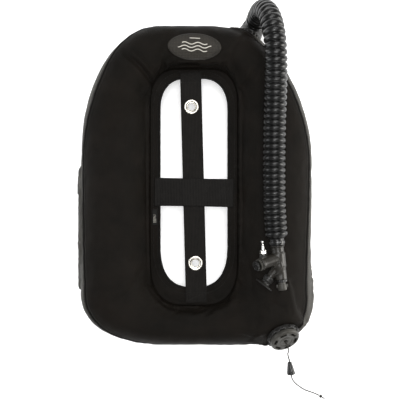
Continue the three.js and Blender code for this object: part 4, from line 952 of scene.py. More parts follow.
def heldShare(grid, angles):
    # 1 where the cloth is held: at the flange, under the valves and under the zipper
    v = shellValues
    columns = grid.shape[1]
    edge = np.minimum(np.arange(columns), columns - 1 - np.arange(columns))
    held = np.tile(1 - smoothStep(0, 3, edge), (len(grid), 1))
    for place, axis in seats:
        along, away = fromSeat(grid, place, axis)
        held = np.maximum(held, (1 - smoothStep(0.030, 0.055, away)) * (np.abs(along) < 0.03))
    y = (grid[..., 1] - wingMiddle[1]) * 1000
    x = (grid[..., 0] - wingMiddle[0]) * 1000
    degrees = np.degrees(angles)
    top, foot = v["zipperMm"]
    high, low = v["zipperDegrees"]
    ends = smoothStep(foot - 25, foot - 5, y) * (1 - smoothStep(top + 5, top + 25, y))
    sides = smoothStep(low - 12, low, degrees) * (1 - smoothStep(high, high + 12, degrees))
    return np.maximum(held, ends * sides * (x < -150))


def inflate(grid, held, seamRow):
    # the ring swells under a light pressure; its seam and flange gather it
    mesh = gridMesh("shellCloth", grid, closeRows=True, closeColumns=True)
    cloth = bpy.data.objects.new("shellCloth", mesh)
    bpy.context.collection.objects.link(cloth)
    pinned = cloth.vertex_groups.new(name="held")
    gathered = cloth.vertex_groups.new(name="gathered")
    columns = grid.shape[1]
    for index, weight in enumerate(held.ravel()):
        if weight > 0.01:
            pinned.add([index], float(weight), "REPLACE")
    for row in range(grid.shape[0]):
        for column, weight in ((seamRow - 1, 0.5), (seamRow, 1.0), (seamRow + 1, 0.5), (3, 0.8), (4, 0.5),
                               (columns - 4, 0.8), (columns - 5, 0.5)):
            gathered.add([row * columns + column], weight, "REPLACE")
    modifier = cloth.modifiers.new("Cloth", "CLOTH")
    for setting, value in clothValues.items():
        setattr(modifier.settings, setting, value)
    modifier.settings.effector_weights.gravity = 0
    modifier.collision_settings.use_collision = False
    modifier.point_cache.frame_end = shellValues["frames"]
    for step in range(1, shellValues["frames"] + 1):
        bpy.context.scene.frame_set(step)
    graph = bpy.context.evaluated_depsgraph_get()
    swollen = cloth.evaluated_get(graph).to_mesh()
    flat = np.empty(len(swollen.vertices) * 3)
    swollen.vertices.foreach_get("co", flat)
    result = flat.reshape(grid.shape)
    bpy.data.objects.remove(cloth)
    bpy.data.meshes.remove(mesh)
    bpy.context.scene.frame_set(1)
    return result


def doubled(grid, axis, closed):
    # puts a cubic point between each pair along one direction
    def at(shift):
        return np.roll(grid, -shift, axis=axis)
    between = (9 * (grid + at(1)) - (at(-1) + at(2))) / 16
    if not closed:
        count = grid.shape[axis]
        plain = (grid + at(1)) / 2
        index = [slice(None)] * grid.ndim
        for edge in (0, count - 2):
            index[axis] = edge
            between[tuple(index)] = plain[tuple(index)]
    stacked = np.stack([grid, between], axis=axis + 1)
    shape = list(grid.shape)
    shape[axis] *= 2
    stacked = stacked.reshape(shape)
    if not closed:
        index = [slice(None)] * grid.ndim
        index[axis] = slice(0, shape[axis] - 1)
        stacked = stacked[tuple(index)]
    return stacked


def noiseField(grid, scale, seed):
    flat = grid.reshape(-1, 3) * scale + seed
    return np.array([noise.noise(Vector(p)) for p in flat]).reshape(grid.shape[:2])


# ---- folds, seam gathers and the panels cut from the grid ----

foldValues = [
    # start and end on the wing in millimetres, depth, width, how far the ends fade
    ((-122, 226), (-72, 172), 3.4, 7.5, 16),
    ((-108, 232), (-80, 205), 1.6, 5.0, 10),
    ((100, 200), (82, 173), 1.8, 7.0, 12),
    ((-62, -180), (-24, -204), 2.2, 6.5, 14),
    ((-30, -203), (52, -190), 1.4, 7.0, 20),
    ((40, -196), (66, -178), 1.8, 6.0, 10),
    ((-96, -150), (-128, -196), 1.3, 7.0, 16),
    ((-90, 120), (-92, 30), 1.0, 8.0, 30),
    ((86, -120), (96, -186), 1.2, 7.0, 20),
    ((-60, 232), (-44, 262), 1.3, 6.0, 10),
    ((60, 226), (86, 262), 1.2, 6.0, 12),
]


def foldDepth(points):
    x = (points[..., 0] - wingMiddle[0]) * 1000
    y = (points[..., 1] - wingMiddle[1]) * 1000
    front = smoothStep(0.06, 0.085, points[..., 2])
    depth = np.zeros(points.shape[:-1])
    for (x0, y0), (x1, y1), deep, width, fade in foldValues:
        along = np.array([x1 - x0, y1 - y0], dtype=float)
        length = np.linalg.norm(along)
        along /= length
        s = (x - x0) * along[0] + (y - y0) * along[1]
        bend = 0.06 * length * np.sin(math.pi * np.clip(s / length, 0, 1))
        d = (x - x0) * -along[1] + (y - y0) * along[0] - bend
        ends = smoothStep(-fade, fade * 0.4, s) * (1 - smoothStep(length - fade * 0.4, length + fade, s))
        groove = np.exp(-(d / (width * 0.55)) ** 2)
        ridge = 0.45 * np.exp(-((np.abs(d) - width * 1.25) / (width * 0.8)) ** 2)
        depth += deep * ends * (groove - ridge) * front
    return depth / 1000


wrinkleValues = {
    # lengths in metres
    "gatherPitch": 0.022, "gatherHeight": 0.00042, "gatherReach": 0.012,
    "flangePitch": 0.016, "flangeHeight": 0.0010, "flangeReach": 0.016,
    "ruffleHeight": 0.0007, "broadHeight": 0.0016, "seamDraw": 0.0014, "seamDrawReach": 0.0028,
    "lowest": 0.0002,
}


def outwardNormals(grid, row, column, closeColumns):
    # normals that point away from the air; the cell named lies on the front, so its normal points up
    normals = gridNormals(grid, closeColumns)
    return -normals if normals[row, column, 2] < 0 else normals


def makeShell():
    v = shellValues
    grid, angles = shellGrid()
    held = heldShare(grid, angles)
    normals = outwardNormals(grid, 10, 5, True)
    seamRow = v["frontSteps"]
    start = grid - normals * (v["startInsetMm"] / 1000 * (1 - held))[..., None]
    swollen = inflate(start, held, seamRow)
    offset = swollen - start
    far = np.linalg.norm(offset, axis=-1)
    cap = v["capMm"] / 1000
    result = start + offset * (cap * np.tanh(far / cap) / np.maximum(far, 1e-9))[..., None]
    print("shell inflated, mean move mm", round(float(far.mean()) * 1000, 2), "most",
          round(float(far.max()) * 1000, 2))
    proud = ((result - grid) * normals).sum(axis=-1)
    result = result - normals * np.maximum(proud - 0.0008, 0)[..., None]  # stays just inside its room
    result = doubled(doubled(result, 0, True), 1, False)
    held2 = doubled(doubled(held, 0, True), 1, False).clip(0, 1)
    seam = 2 * seamRow
    normals = outwardNormals(result, 20, 10, False)
    across = runAcross(result)
    away = across - across[:, seam:seam + 1]
    ringRun = runAlong(result[:, seam])
    w = wrinkleValues
    phase = noiseField(result, 26.0, 3.0)
    ruffle = noiseField(result, 60.0, 11.0)
    broad = noiseField(result, 9.0, 21.0)
    waves = np.sin(2 * math.pi * ringRun[:, None] / w["gatherPitch"] + 5.0 * phase)
    gather = np.exp(-(np.abs(away) / w["gatherReach"]) ** 1.3) * (0.55 + 0.9 * np.clip(broad, -0.5, 0.7))
    edge = np.minimum(across, across[:, -1:] - across)
    flangeWaves = np.sin(2 * math.pi * ringRun[:, None] / w["flangePitch"] + 4.0 * phase + 1.0)
    rim = np.exp(-(edge / w["flangeReach"]) ** 1.4)
    lift = w["gatherHeight"] * waves * gather + w["flangeHeight"] * flangeWaves * rim * (0.6 + broad)
    lift += w["ruffleHeight"] * ruffle * (0.3 + 0.7 * smoothStep(0.0, 0.5, np.abs(broad) + 0.2))
    lift += w["broadHeight"] * broad
    lift -= w["seamDraw"] * np.exp(-(away / w["seamDrawReach"]) ** 2)  # the seam draws the cloth in
    lift -= foldDepth(result)
    free = 1 - smoothStep(0.35, 1.0, held2)
    result = result + normals * (lift * free)[..., None]
    result = pressed(result, 0.0001)
    result[..., 2] = np.maximum(result[..., 2], w["lowest"])
    return result, seam, ringRun, across


def addPanels():
    result, seam, ringRun, across = makeShell()
    around = np.concatenate([ringRun, [ringRun[-1] + np.linalg.norm(result[-1, seam] - result[0, seam])]])
    columns = result.shape[1]
    meanAcross = across.mean(axis=0)
    panels = []
    for name, first, last, look, slotName, node in (
            ("frontPanel", 0, seam, "front", "nylon_front", "front_panel"),
            ("sideAndBackPanel", seam, columns - 1, "side", "nylon_side", "back_panel")):
        part = result[:, first:last + 1]
        mesh = gridMesh(name, part, closeRows=True, uvRows=around, uvColumns=meanAcross[first:last + 1],
                        flip=True)
        openAtValves(mesh, "cloth")
        panel = addObject(name, mesh, look, node=node)
        panels.append(panel)
    return result, outwardNormals(result, 20, 10, False), seam, panels


shell, shellNormals, seamColumn, shellPanels = addPanels()
frontMesh = shellPanels[0].data
panelTree = BVHTree.FromPolygons([vertex.co.copy() for vertex in frontMesh.vertices],
                                 [tuple(face.vertices) for face in frontMesh.polygons])
print("shell panels made")


def atDistance(distance, side):
    # the line a set distance from the seam on one side, measured along the cloth
    part = shell[:, :seamColumn + 1][:, ::-1] if side > 0 else shell[:, seamColumn:]
    partNormals = shellNormals[:, :seamColumn + 1][:, ::-1] if side > 0 else shellNormals[:, seamColumn:]
    run = runAcross(part)
    points = np.array([[np.interp(distance, run[i], part[i, :, k]) for k in range(3)]
                       for i in range(len(part))])
    return points, partNormals[:, 2]


def openRuns(points, normals, least=6):
    # the stretches of a closed line that no valve covers
    points, normals = closedLoop(points), closedLoop(normals)
    blocked = nearValves(points, "piping")
    runs, begin = [], None
    for index, shut in enumerate(blocked):
        if not shut and begin is None:
            begin = index
        if (shut or index == len(blocked) - 1) and begin is not None:
            if index - begin >= least:
                runs.append((points[begin:index + 1], normals[begin:index + 1]))
            begin = None
    return runs


pipingValues = {"radiusMm": 1.5, "standOff": 0.0009}
seamStitchLines = ((1, 0.0036), (1, 0.0086), (-1, 0.0036))  # side of the seam and distance from it in metres


def addPiping():
    normals = shellNormals[:, seamColumn]
    points = shell[:, seamColumn] + normals * pipingValues["standOff"]
    radius = pipingValues["radiusMm"] / 1000
    pieces = [tubeMesh("piping", run, np.full(len(run), radius), 10)
              for run, facing in openRuns(points, normals)]
    addObject("seamPiping", pieces, "binding",
              node="perimeter_piping")
    stitches = []
    for side, distance in seamStitchLines:
        line, facing = atDistance(distance, side)
        for run, runNormals in openRuns(line, facing):
            stitches.append(stitchMesh("seamStitch", run, runNormals))
    addObject("seamStitches", stitches, "thread")


addPiping()
print("piping and seam stitches made")


# ---- flange, binding and label in the opening ----

flangeValues = {"stations": 360, "thickMm": 3.2, "bindingWideMm": 4.6, "bindingThickMm": 4.4, "steps": 10,
                "tuck": 0.0012, "puff": 0.00028, "stitchDip": 0.00035, "stitch": (0.0046, 0.0032)}


def addFlange():
    v = flangeValues
    inner, clear = ringStations(v["stations"])[1:]
    level = np.full((v["stations"], 1), float(shellValues["seamHeightMm"]))
    inner = np.concatenate([inner, level], axis=1) / 1000 + np.array(wingMiddle)
    clear = np.concatenate([clear, level], axis=1) / 1000 + np.array(wingMiddle)
    inward = clear - inner
    wide = np.linalg.norm(inward, axis=1)[:, None]
    inward = inward / wide
    along = np.roll(clear, -1, axis=0) - np.roll(clear, 1, axis=0)
    along /= np.linalg.norm(along, axis=1)[:, None]
    square = np.stack([along[:, 1], -along[:, 0], 0 * along[:, 0]], axis=1)
    square *= np.sign((square * inward).sum(axis=1))[:, None]
    half = v["thickMm"] / 2000
    rows = []
    ruffles = np.array([noise.noise(Vector(p) * 55) for p in clear])
    waves = np.sin(np.cumsum(np.linalg.norm(np.roll(clear, -1, axis=0) - clear, axis=1)) * 2 * math.pi / 0.017
                   + 3 * ruffles)
    shares = np.linspace(0, 1, v["steps"] + 1)
    for side in (1, -1):
        for share in (shares if side > 0 else shares[::-1]):
            place = inner * (1 - share) + clear * share - inward * v["tuck"] * (1 - share)
            stitched = math.exp(-((share - 0.74) / 0.07) ** 2) + math.exp(-((share - 0.2) / 0.07) ** 2)
            puff = v["puff"] * waves * math.sin(math.pi * share) - v["stitchDip"] * stitched
            place[:, 2] += side * (half - 0.0001) + side * puff
            rows.append(place)
    grid = np.stack(rows, axis=1)
    mesh = gridMesh("openingFlange", grid, closeRows=True, closeColumns=True)
    addObject("openingFlange", cleaned(mesh, 0), "front",
              node="opening_flange")
    tall, broad = v["bindingThickMm"] / 2000, v["bindingWideMm"] / 2000
    turns = np.linspace(0, 2 * math.pi, 20, endpoint=False)
    section = np.stack([broad * signedPower(np.cos(turns), 0.6), tall * signedPower(np.sin(turns), 0.6)],
                       axis=1)
    section *= (1 + 0.02 * np.sin(3 * turns))[:, None]
    swell = 1 + 0.05 * waves
    grid = (clear[:, None, :] + square[:, None, :] * (section[None, :, :1] * swell[:, None, None])
            + np.array([0, 0, 1]) * section[None, :, 1:])
    mesh = gridMesh("edgeBinding", grid, closeRows=True, closeColumns=True)
    addObject("edgeBinding", mesh, "binding", node="opening_binding")
    rows = []
    for side in (1, -1):
        facing = facingUp(len(clear) + 1, side)
        for back in (0.0036, 0.0105):
            line = clear - square * back + np.array([0, 0, side * (half + 0.0001)])
            rows.append(stitchMesh("flangeStitch", closedLoop(line), facing, *v["stitch"]))
        line = clear + square * 0.0002 + np.array([0, 0, side * (tall + 0.00005)])
        rows.append(stitchMesh("bindingStitch", closedLoop(line), facing, *v["stitch"], 0.0010))
    addObject("flangeStitches", rows, "thread")


labelValues = {
    "wideMm": 9, "longMm": 28, "middle": (-74.5, -56.5, 57.4), "thick": 0.0005,
    "bars": ((0.30, 0.55), (0.42, 0.75), (0.54, 0.6), (0.66, 0.7), (0.78, 0.4)),  # place across and length
}


def addLabel():
    v = labelValues
    rows, columns = 30, 12
    x = np.linspace(-v["wideMm"] / 2, v["wideMm"] / 2, columns)
    y = np.linspace(-v["longMm"] / 2, v["longMm"] / 2, rows)
    grid = np.zeros((rows, columns, 3))
    grid[..., 0] = x[None, :]
    grid[..., 1] = y[:, None]
    grid[..., 2] = 0.25 * np.sin(y[:, None] * 0.35) * (x[None, :] / v["wideMm"] + 0.5) + 0.25
    grid = grid / 1000 + np.array(onWing(*v["middle"]))
    under = grid - np.array([0, 0, v["thick"]])
    closedGrid = np.concatenate([grid, under[:, ::-1]], axis=1)
    mesh = gridMesh("careLabel", closedGrid, closeColumns=True)
    addObject("careLabel", mesh, "label", node="care_label")
    bars = []
    for share, reach in v["bars"]:
        column = int(share * (columns - 1))
        first, last = int(rows * 0.15), int(rows * (0.15 + reach * 0.75))
        line = grid[first:last, column]
        bars.append(stitchMesh("wovenBar", line, facingUp(len(line)), 0.0022, 0.0017, 0.0007, 0.0))
    addObject("careLabelBars", bars, "badgeLine")


addFlange()
addLabel()
print("flange, binding and label made")


# ---- webbing strap, grommets and elastic ----

strapValues = {
    "middle": (-5.4, 0.9), "tiltDegrees": 1.48, "wideMm": 38, "thickMm": 2.2, "footMm": -209.0 - 0.9,
    "topMm": 202.0 - 0.9, "heightMm": 58.6, "boltMm": 139.7, "punchMm": 7.65,
    "boxStitchMm": 16, "boxLengthMm": 15,
}


def tiltedOnWing(values):
    tilt = Matrix.Rotation(math.radians(values["tiltDegrees"]), 4, "Z")
    return Matrix.Translation(onWing(*values["middle"], 0)) @ tilt


strapTurn = tiltedOnWing(strapValues)


def tapeGrid(centres, sides, normals, wide, thick, columns=16):
    # a flat tape with rounded edges that follows a line
    turns = [(2 * column / columns - 1, 1) for column in range(columns + 1)]
    turns += [(across, -1) for across, face in reversed(turns)]
    points = np.zeros((len(centres), len(turns), 3))
    for index, (across, face) in enumerate(turns):
        edge = math.sqrt(max(0.0, 1 - abs(across) ** 14))
        points[:, index] = (centres + sides * (across * wide / 2)
                            + normals * (face * thick / 2 * (0.35 + 0.65 * edge)))
    return points


def addStrap():
    v = strapValues
    count = 160
    y = np.linspace(v["footMm"], v["topMm"], count)
    centres = np.stack([0 * y, y, np.full(count, v["heightMm"])], axis=1) / 1000
    ripple = 0.00018 * np.sin(y / 19.0) + 0.00012 * np.sin(y / 7.3 + 1)
    flat = np.minimum(np.abs(y - v["boltMm"]), np.abs(y + v["boltMm"]))
    centres[:, 2] += ripple * smoothStep(14, 30, flat)
    sides = np.tile([1.0, 0, 0], (count, 1))
    tape = tapeGrid(centres, sides, facingUp(count), v["wideMm"] / 1000, v["thickMm"] / 1000, 18)
    points = moved(tape, strapTurn)
    run = np.concatenate([(y - y[0]) / 1000, [(y[-1] - y[0]) / 1000]])
    mesh = gridMesh("webbingStrap", points, closeColumns=True, uvRows=run, flip=True)
    punch = [(0, -6), (v["punchMm"], -6), (v["punchMm"], 6), (0, 6)]
    punches = [latheMesh("punch", punch, axisMatrix(strapTurn @ mm(0, side * v["boltMm"], v["heightMm"]),
                                                    (0, 0, 1)), 64, 0) for side in (1, -1)]
    mesh = cutMesh(cleaned(mesh, 1e-7, 60), punches)
    mesh.name = "webbingStrap"
    strap = addObject("webbingStrap", mesh, "webbing", node="center_strap")
    smoothByAngle(strap)
    rows = []
    top = v["heightMm"] + v["thickMm"] / 2
    for side in (1, -1):
        end = v["topMm"] - 3 if side > 0 else v["footMm"] + 3
        inner = end - side * v["boxLengthMm"]
        reach = v["boxStitchMm"]
        box = [(-reach, end), (reach, end), (reach, inner), (-reach, inner), (-reach, end), (reach, inner)]
        for (x0, y0), (x1, y1) in zip(box[:-1], box[1:]):
            line = np.linspace((x0, y0, top), (x1, y1, top), 20) / 1000
            rows.append(stitchMesh("boxStitch", moved(line, strapTurn), facingUp(20), 0.0034, 0.0025, 0.0010))
    addObject("strapStitches", rows, "thread")


def addGrommets():
    v = strapValues
    for place, side in (("upper", 1), ("lower", -1)):
        facing, foot = [axisMatrix(strapTurn @ mm(0, side * v["boltMm"], v["heightMm"] + half), (0, 0, 1),
                                   (0, 1, 0)) for half in (v["thickMm"] / 2, -v["thickMm"] / 2)]
        # rolled eyelet: a bright domed rim, a step and a darker funnel down into the hole
        face = latheMesh(place + "Eyelet", [
            (6.35, -2.5), (7.35, -2.5), (7.35, 0.3), (13, 0.3), (12.9, 0.8), (12.2, 1.25), (11.2, 1.4),
            (10.2, 1.3), (9.5, 0.95), (9.2, 0.9), (8.6, 0.65), (7.6, 0.1), (6.8, -0.7), (6.4, -1.4),
            (6.35, -2.5)], facing, 96, 0.2)
        addObject(place + "Eyelet", face, "nickel", node=place + "_grommet")
        back = latheMesh(place + "Washer", [
            (7.65, -1.4), (8.2, -1.5), (12.6, -1.3), (13, -1.0), (13, -0.3), (7.65, -0.3), (7.65, -1.4)],
            foot, 72, 0.2)
        addObject(place + "Washer", back, "nickel", node=place + "_grommet_washer")


elasticValues = {
    "wideMm": 50.8, "thickMm": 1.8, "lengthMm": 141, "middle": (-4.5, -12.5), "tiltDegrees": -1.0,
    "heightMm": 58.1, "riseMm": 2.8, "stitchHalfMm": 23.4,
    "stitchLinesMm": (-62, -58, -24.5, -21.5, 19.5, 22.5, 58, 62),
}


def elasticHeight(x):
    # the band climbs over the strap in the middle
    over = 1 - smoothStep(22, 50, np.abs(x + 1))
    return elasticValues["heightMm"] + elasticValues["riseMm"] * over


def addElastic():
    v = elasticValues
    turn = tiltedOnWing(v)
    count = 90
    x = np.linspace(-v["lengthMm"] / 2, v["lengthMm"] / 2, count)
    centres = np.stack([x, 0 * x, elasticHeight(x)], axis=1) / 1000
    tangent = np.gradient(centres, axis=0)
    tangent /= np.linalg.norm(tangent, axis=1)[:, None]
    sides = np.tile([0, 1.0, 0], (count, 1))
    normals = np.cross(tangent, sides)
    narrowed = 1 - 0.02 * np.sin(np.pi * (x + 70) / v["lengthMm"])
    sides = sides * narrowed[:, None]
    points = tapeGrid(centres, sides, normals, v["wideMm"] / 1000, v["thickMm"] / 1000, 22)
    mesh = gridMesh("elasticBand", moved(points, turn), closeColumns=True,
                    uvRows=np.concatenate([(x - x[0]) / 1000, [v["lengthMm"] / 1000]]))
    addObject("elasticBand", cleaned(mesh, 1e-7, 60), "elastic",
              node="cross_strap")
    rows = []
    for place in v["stitchLinesMm"]:
        level = float(elasticHeight(place)) + v["thickMm"] / 2
        line = np.linspace((place, -v["stitchHalfMm"], level), (place, v["stitchHalfMm"], level), 30) / 1000
        rows.append(stitchMesh("bandStitch", moved(line, turn), facingUp(30), 0.0036, 0.0027, 0.0011))
    addObject("elasticStitches", rows, "thread")


addStrap()
addGrommets()
addElastic()
print("strap, grommets and elastic made")


# ---- badge ----

badgeValues = {
    "wideMm": 93, "tallMm": 45, "middle": (-3.2, 241.4), "tiltDegrees": -2, "thickMm": 1.5,
    "rims": ((0.955, 0.65), (0.87, 0.4)),  # share of the way out and radius in millimetres
    "waves": ((5.6, 22), (0, 29), (-5.6, 22)), "waveRadius": 0.00085,  # level and reach in millimetres
    "barLevelMm": 14.2, "barReachMm": 9, "barRadius": 0.0007,
}


def addBadge():
    v = badgeValues
    turn = Matrix.Rotation(math.radians(v["tiltDegrees"]), 2)

    def onBadge(x, y, lift):
        flat = turn @ Vector((x, y)) + Vector(v["middle"])
        above = onWing(flat.x, flat.y, 150)
        hit, normal = panelTree.ray_cast(above, Vector((0, 0, -1)))[:2]
        normal = normal if normal.z > 0 else -normal
        return hit + normal * (lift / 1000)

    def onOval(share, angle, lift):
        return tuple(onBadge(v["wideMm"] / 2 * share * math.cos(angle),
                             v["tallMm"] / 2 * share * math.sin(angle), lift))

    rings, around = 22, 120
    rows = []
    for side in range(around):
        angle = 2 * math.pi * side / around
        row = []
        for ring in range(rings + 1):
            share = ring / rings
            lift = 0.35 + v["thickMm"] + 0.45 * math.exp(-((share - 0.955) / 0.022) ** 2)
            lift += 0.3 * math.exp(-((share - 0.87) / 0.014) ** 2)
            row.append(onOval(share, angle, lift))
        rows.append([*row, onOval(1.004, angle, 0.9), onOval(1, angle, 0.1)])
    grid = np.array(rows)
    mesh = gridMesh("ovalBadge", grid, closeRows=True, flip=True)
    layer = mesh.uv_layers[0]
    base = Vector(onWing(*v["middle"], 0))
    for loop in mesh.loops:
        place = mesh.vertices[loop.vertex_index].co - base
        layer.data[loop.index].uv = (place.x, place.y)
    addObject("ovalBadge", cleaned(mesh), "badge", node="badge")
    lines = []
    for share, radius in v["rims"]:
        path = np.array([onOval(share, t, 0.55 + v["thickMm"]) for t in np.linspace(0, 2 * math.pi, 121)])
        lines.append(tubeMesh("badgeRim", path, np.full(len(path), radius / 1000), 8, capped=False))
    addObject("badgeRims", lines, "badgeRim")
    # a plain pattern: three waves below a short bar
    waves = []
    for level, reach in v["waves"]:
        path = asRows(onBadge(x, level + 1.7 * math.sin(x / 3.7), 0.45 + v["thickMm"])
                      for x in np.linspace(-reach, reach, 90))
        waves.append(tubeMesh("badgeWave", path, np.full(90, v["waveRadius"]), 8))
    path = asRows(onBadge(x, v["barLevelMm"], 0.4 + v["thickMm"])
                  for x in np.linspace(-v["barReachMm"], v["barReachMm"], 20))
    waves.append(tubeMesh("badgeBar", path, np.full(20, v["barRadius"]), 8))
    addObject("badgeWaves", waves, "badgeLine")


addBadge()
print("badge made")


# ---- bladder access zipper ----

zipperValues = {
    "pitchMm": 2.4, "lengthMm": 190, "tapeDegrees": ((-8, -18.6), (-19.4, -30)), "stitchDegrees": (-11, -27),
    "faceMm": 1.15, "backMm": 0.35, "stitchLiftMm": 1.2,
}
outwards = Vector((-0.94726, 0, -0.32046))  # away from the shell at the zipper's chain
upwards = Vector((-0.32046, 0, 0.94726))


def addZipper():
    v = zipperValues
    lowTape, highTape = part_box("zipper_tape")
    lowCoil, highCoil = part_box("zipper_coil")
    middleZ = (lowCoil[2] + highCoil[2]) / 2
    middleX = (lowCoil[0] + highCoil[0]) / 2
    top, foot = highTape[1], lowTape[1]
    ring = shellValues
    half = (ring["widthMm"] / 2 + ring["openingMm"][0]) / 2
    centreX = -(ring["widthMm"] / 2 - ring["openingMm"][0]) / 2

    def overShell(angle, lift):
        # x and z a small height over the left side of the ring
        return (centreX - (half + lift) * signedPower(math.cos(angle), 2 / ring["power"]),
                ring["seamHeightMm"]
                + (ring["sideLoftMm"] + lift) * signedPower(math.sin(angle), 2 / ring["power"]))

    # tape: two strips of woven polyester over the shell, split under the coil
    tapes = []
    for start, end in v["tapeDegrees"]:
        rows, columns = 80, 10
        angle = np.radians(np.linspace(start, end, columns))
        y = np.linspace(top, foot, rows)
        face = [overShell(a, v["faceMm"]) for a in angle]
        back = [overShell(a, v["backMm"]) for a in angle[::-1]]
        section = np.array(face + back) / 1000
        grid = np.zeros((rows, len(section), 3))
        grid[..., 0] = section[None, :, 0] + wingMiddle.x
        grid[..., 1] = y[:, None]
        grid[..., 2] = section[None, :, 1]
        tapes.append(cleaned(gridMesh("zipperTape", grid, closeColumns=True), 1e-7, 40))
    addObject("zipperTape", tapes, "binding",
              node="zipper_tape")
    # coil: each turn of the monofilament shows as a slanted bead
    beads = []
    count = int(v["lengthMm"] / v["pitchMm"])
    for index in range(count * 2):
        y = top - (index / 2 + 0.4) * v["pitchMm"] / 1000
        if y < foot + 0.001:
            break
        side = 1 if index % 2 else -1
        place = Vector((middleX, y, middleZ)) + upwards * (side * 0.0011)
        turn = axisMatrix(place, upwards + Vector((0, side * 0.25, 0)), outwards)
        beads.append(latheMesh("coilTurn", [(0, -1.5), (0.62, -1.1), (0.8, 0), (0.62, 1.1), (0, 1.5)],
                               turn, 8, 0))
    addObject("zipperCoil", beads, "gloss",
              node="zipper_coil")
    stitches = []
    for degrees in v["stitchDegrees"]:
        x, z = overShell(math.radians(degrees), v["stitchLiftMm"])
        x, z = x / 1000 + wingMiddle.x, z / 1000
        line = np.linspace((x, top - 0.002, z), (x, foot + 0.002, z), 40)
        stitches.append(stitchMesh("zipperStitch", line, np.tile(tuple(outwards), (40, 1)), 0.0036, 0.0026,
                                   0.0009))
    addObject("zipperStitches", stitches, "thread")
    # stops at both ends
    stops = [boxMesh("zipperStop", (0.0022, 0.0026, 0.0062),
                     axisMatrix(Vector((middleX, y, middleZ)), (0, 1, 0), upwards), 0.0005)
             for y in (top - 0.0012, foot + 0.0012)]
    addObject("zipperStops", stops, "enamel")


def addSlider():
    low, high = (Vector(p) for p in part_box("zipper_slider"))
    middle = (low + high) / 2
    facing = axisMatrix(middle, (0, 1, 0), upwards)
    out = facing.to_3x3().inverted() @ outwards
    sign = 1 if out.x > 0 else -1
    lowCoil, highCoil = (Vector(p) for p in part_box("zipper_coil"))
    coil = (lowCoil + highCoil) / 2
    base = coil.dot(outwards) - middle.dot(outwards)

    def local(o, y, u):
        return Matrix.Translation(mm(0, y, u) + Vector((sign * (base + o / 1000), 0, 0)))
    parts = [boxMesh("sliderRoof", mm(1.2, 12.6, 8.2), facing @ local(1.85, 0, 0), 0.0005, 3)]
    parts += [boxMesh("sliderWall", mm(1.9, 12.0, 0.8), facing @ local(0.5, 0, side), 0.0003, 2)
              for side in (3.5, -3.5)]
    bridge = ((2.3, -4.5), (3.6, -3.4), (3.8, 0), (3.6, 3.4), (2.3, 4.5))  # out from the coil and along it
    path = smoothPath([facing @ (local(o, y, 0) @ Vector()) for o, y in bridge], 26)[0]
    parts.append(tubeMesh("sliderBridge", path, np.full(26, 0.00065), 10))
    addObject("zipperSlider", parts, "enamel",
              "zipper_slider", "zipper_slider")
    lowPull, highPull = (Vector(p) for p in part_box("zipper_pull"))
    middle = (lowPull + highPull) / 2
    facing = axisMatrix(middle, (0, 1, 0), upwards)
    pull = [boxMesh("pullTab", mm(1.3, 19, 5.8), shifted(facing, 0, -3.2, 0), 0.00055, 3)]
    for step in range(5):
        pull.append(boxMesh("pullGrip", mm(1.75, 1.1, 4.4), shifted(facing, 0, -9.5 + 2.4 * step, 0),
                            0.0003, 2))
    ring = []
    for step in range(25):
        t = 2 * math.pi * step / 24
        ring.append(facing @ mm(0, 8.4 + 3.4 * math.cos(t), 2.0 * math.sin(t)))
    pull.append(tubeMesh("pullLoop", asRows(ring), np.full(len(ring), 0.00062), 10, capped=False))
    addObject("zipperPull", pull, "gloss",
              "zipper_pull", "zipper_pull")


addZipper()
addSlider()
print("zipper made")


# ---- hose port: gasket, knurled ring, elbow and cable tie ----

portValues = {"knurls": 24, "voxelMm": 0.75}


def knurl(count, depth, low, high):
    def ripple(angle, radius, height):
        ridge = np.clip(np.sin(angle * count) * 2.5, -1, 1)
        side = (height > low / 1000) & (height < high / 1000) & (radius > 0.7 * radius.max())
        return depth / 1000 * (ridge - 1) / 2 * side
    return ripple


def addGasket(name, matrix, node):
    profile = [(17.8, 0.4), (24.6, 0.4), (25, 0.8), (25, 1.6), (24.6, 1.9), (17.8, 1.9), (17.8, 0.4)]
    gasket = latheMesh(name, profile, matrix, 72, 0.2)
    addObject(name, gasket, "seal", node=node)


def addPort():
    addGasket("portGasket", portMatrix, "port_gasket")
    ring = latheMesh("portRing", [(17.8, 2.2), (25, 2.2), (26, 3.0), (26, 8.0), (25, 9.0), (17.8, 9.0),
                                  (17.8, 2.2)], portMatrix, 192, 0.5,
                     knurl(portValues["knurls"], 1.2, 2.4, 8.8))
    addObject("portRing", ring, "black", node="port_ring")
    skirt = latheMesh("elbowSkirt", [(0, 9.4), (23, 9.4), (23, 12.4), (21.8, 14), (21.6, 20), (20, 28),
                                     (0, 30)], portMatrix, 72, 0.8)
    dome = latheMesh("elbowDome", [(20 * math.cos(math.radians(a)), 28 + 20 * math.sin(math.radians(a)))
                                   for a in range(-88, 91, 4)] + [(0, 48)], portMatrix, 72, 0)
    neck = latheMesh("elbowNeck", [(0, 0), (17, 0), (17, 22.4), (16.4, 24), (0, 24)], elbowMatrix, 72, 0.5)
    barb = latheMesh("elbowBarb", [(0, 20), (14.2, 20), (14.2, 39), (0, 39)], elbowMatrix, 64, 0.5)
    ribs = []
    for side in (-1, 1):
        # two moulded stiffening ribs from the skirt up the neck
        path = [portMatrix @ mm(side * x, y, z)
                for x, y, z in ((17.5, 13, -6), (19.2, 24, 4), (17.0, 28, 16), (16.4, 28, 22))]
        ribs.append(tubeMesh("elbowRib", smoothPath(path, 24)[0], np.full(24, 0.0016), 8))
    elbow = fusedMesh("hoseElbow", [skirt, dome, neck, barb, *ribs], portValues["voxelMm"] / 1000, 5)
    addObject("hoseElbow", elbow, "black", node="hose_elbow")
    tie(elbowMatrix, 17.45, 31.5, "upperTie", "upper_tie")


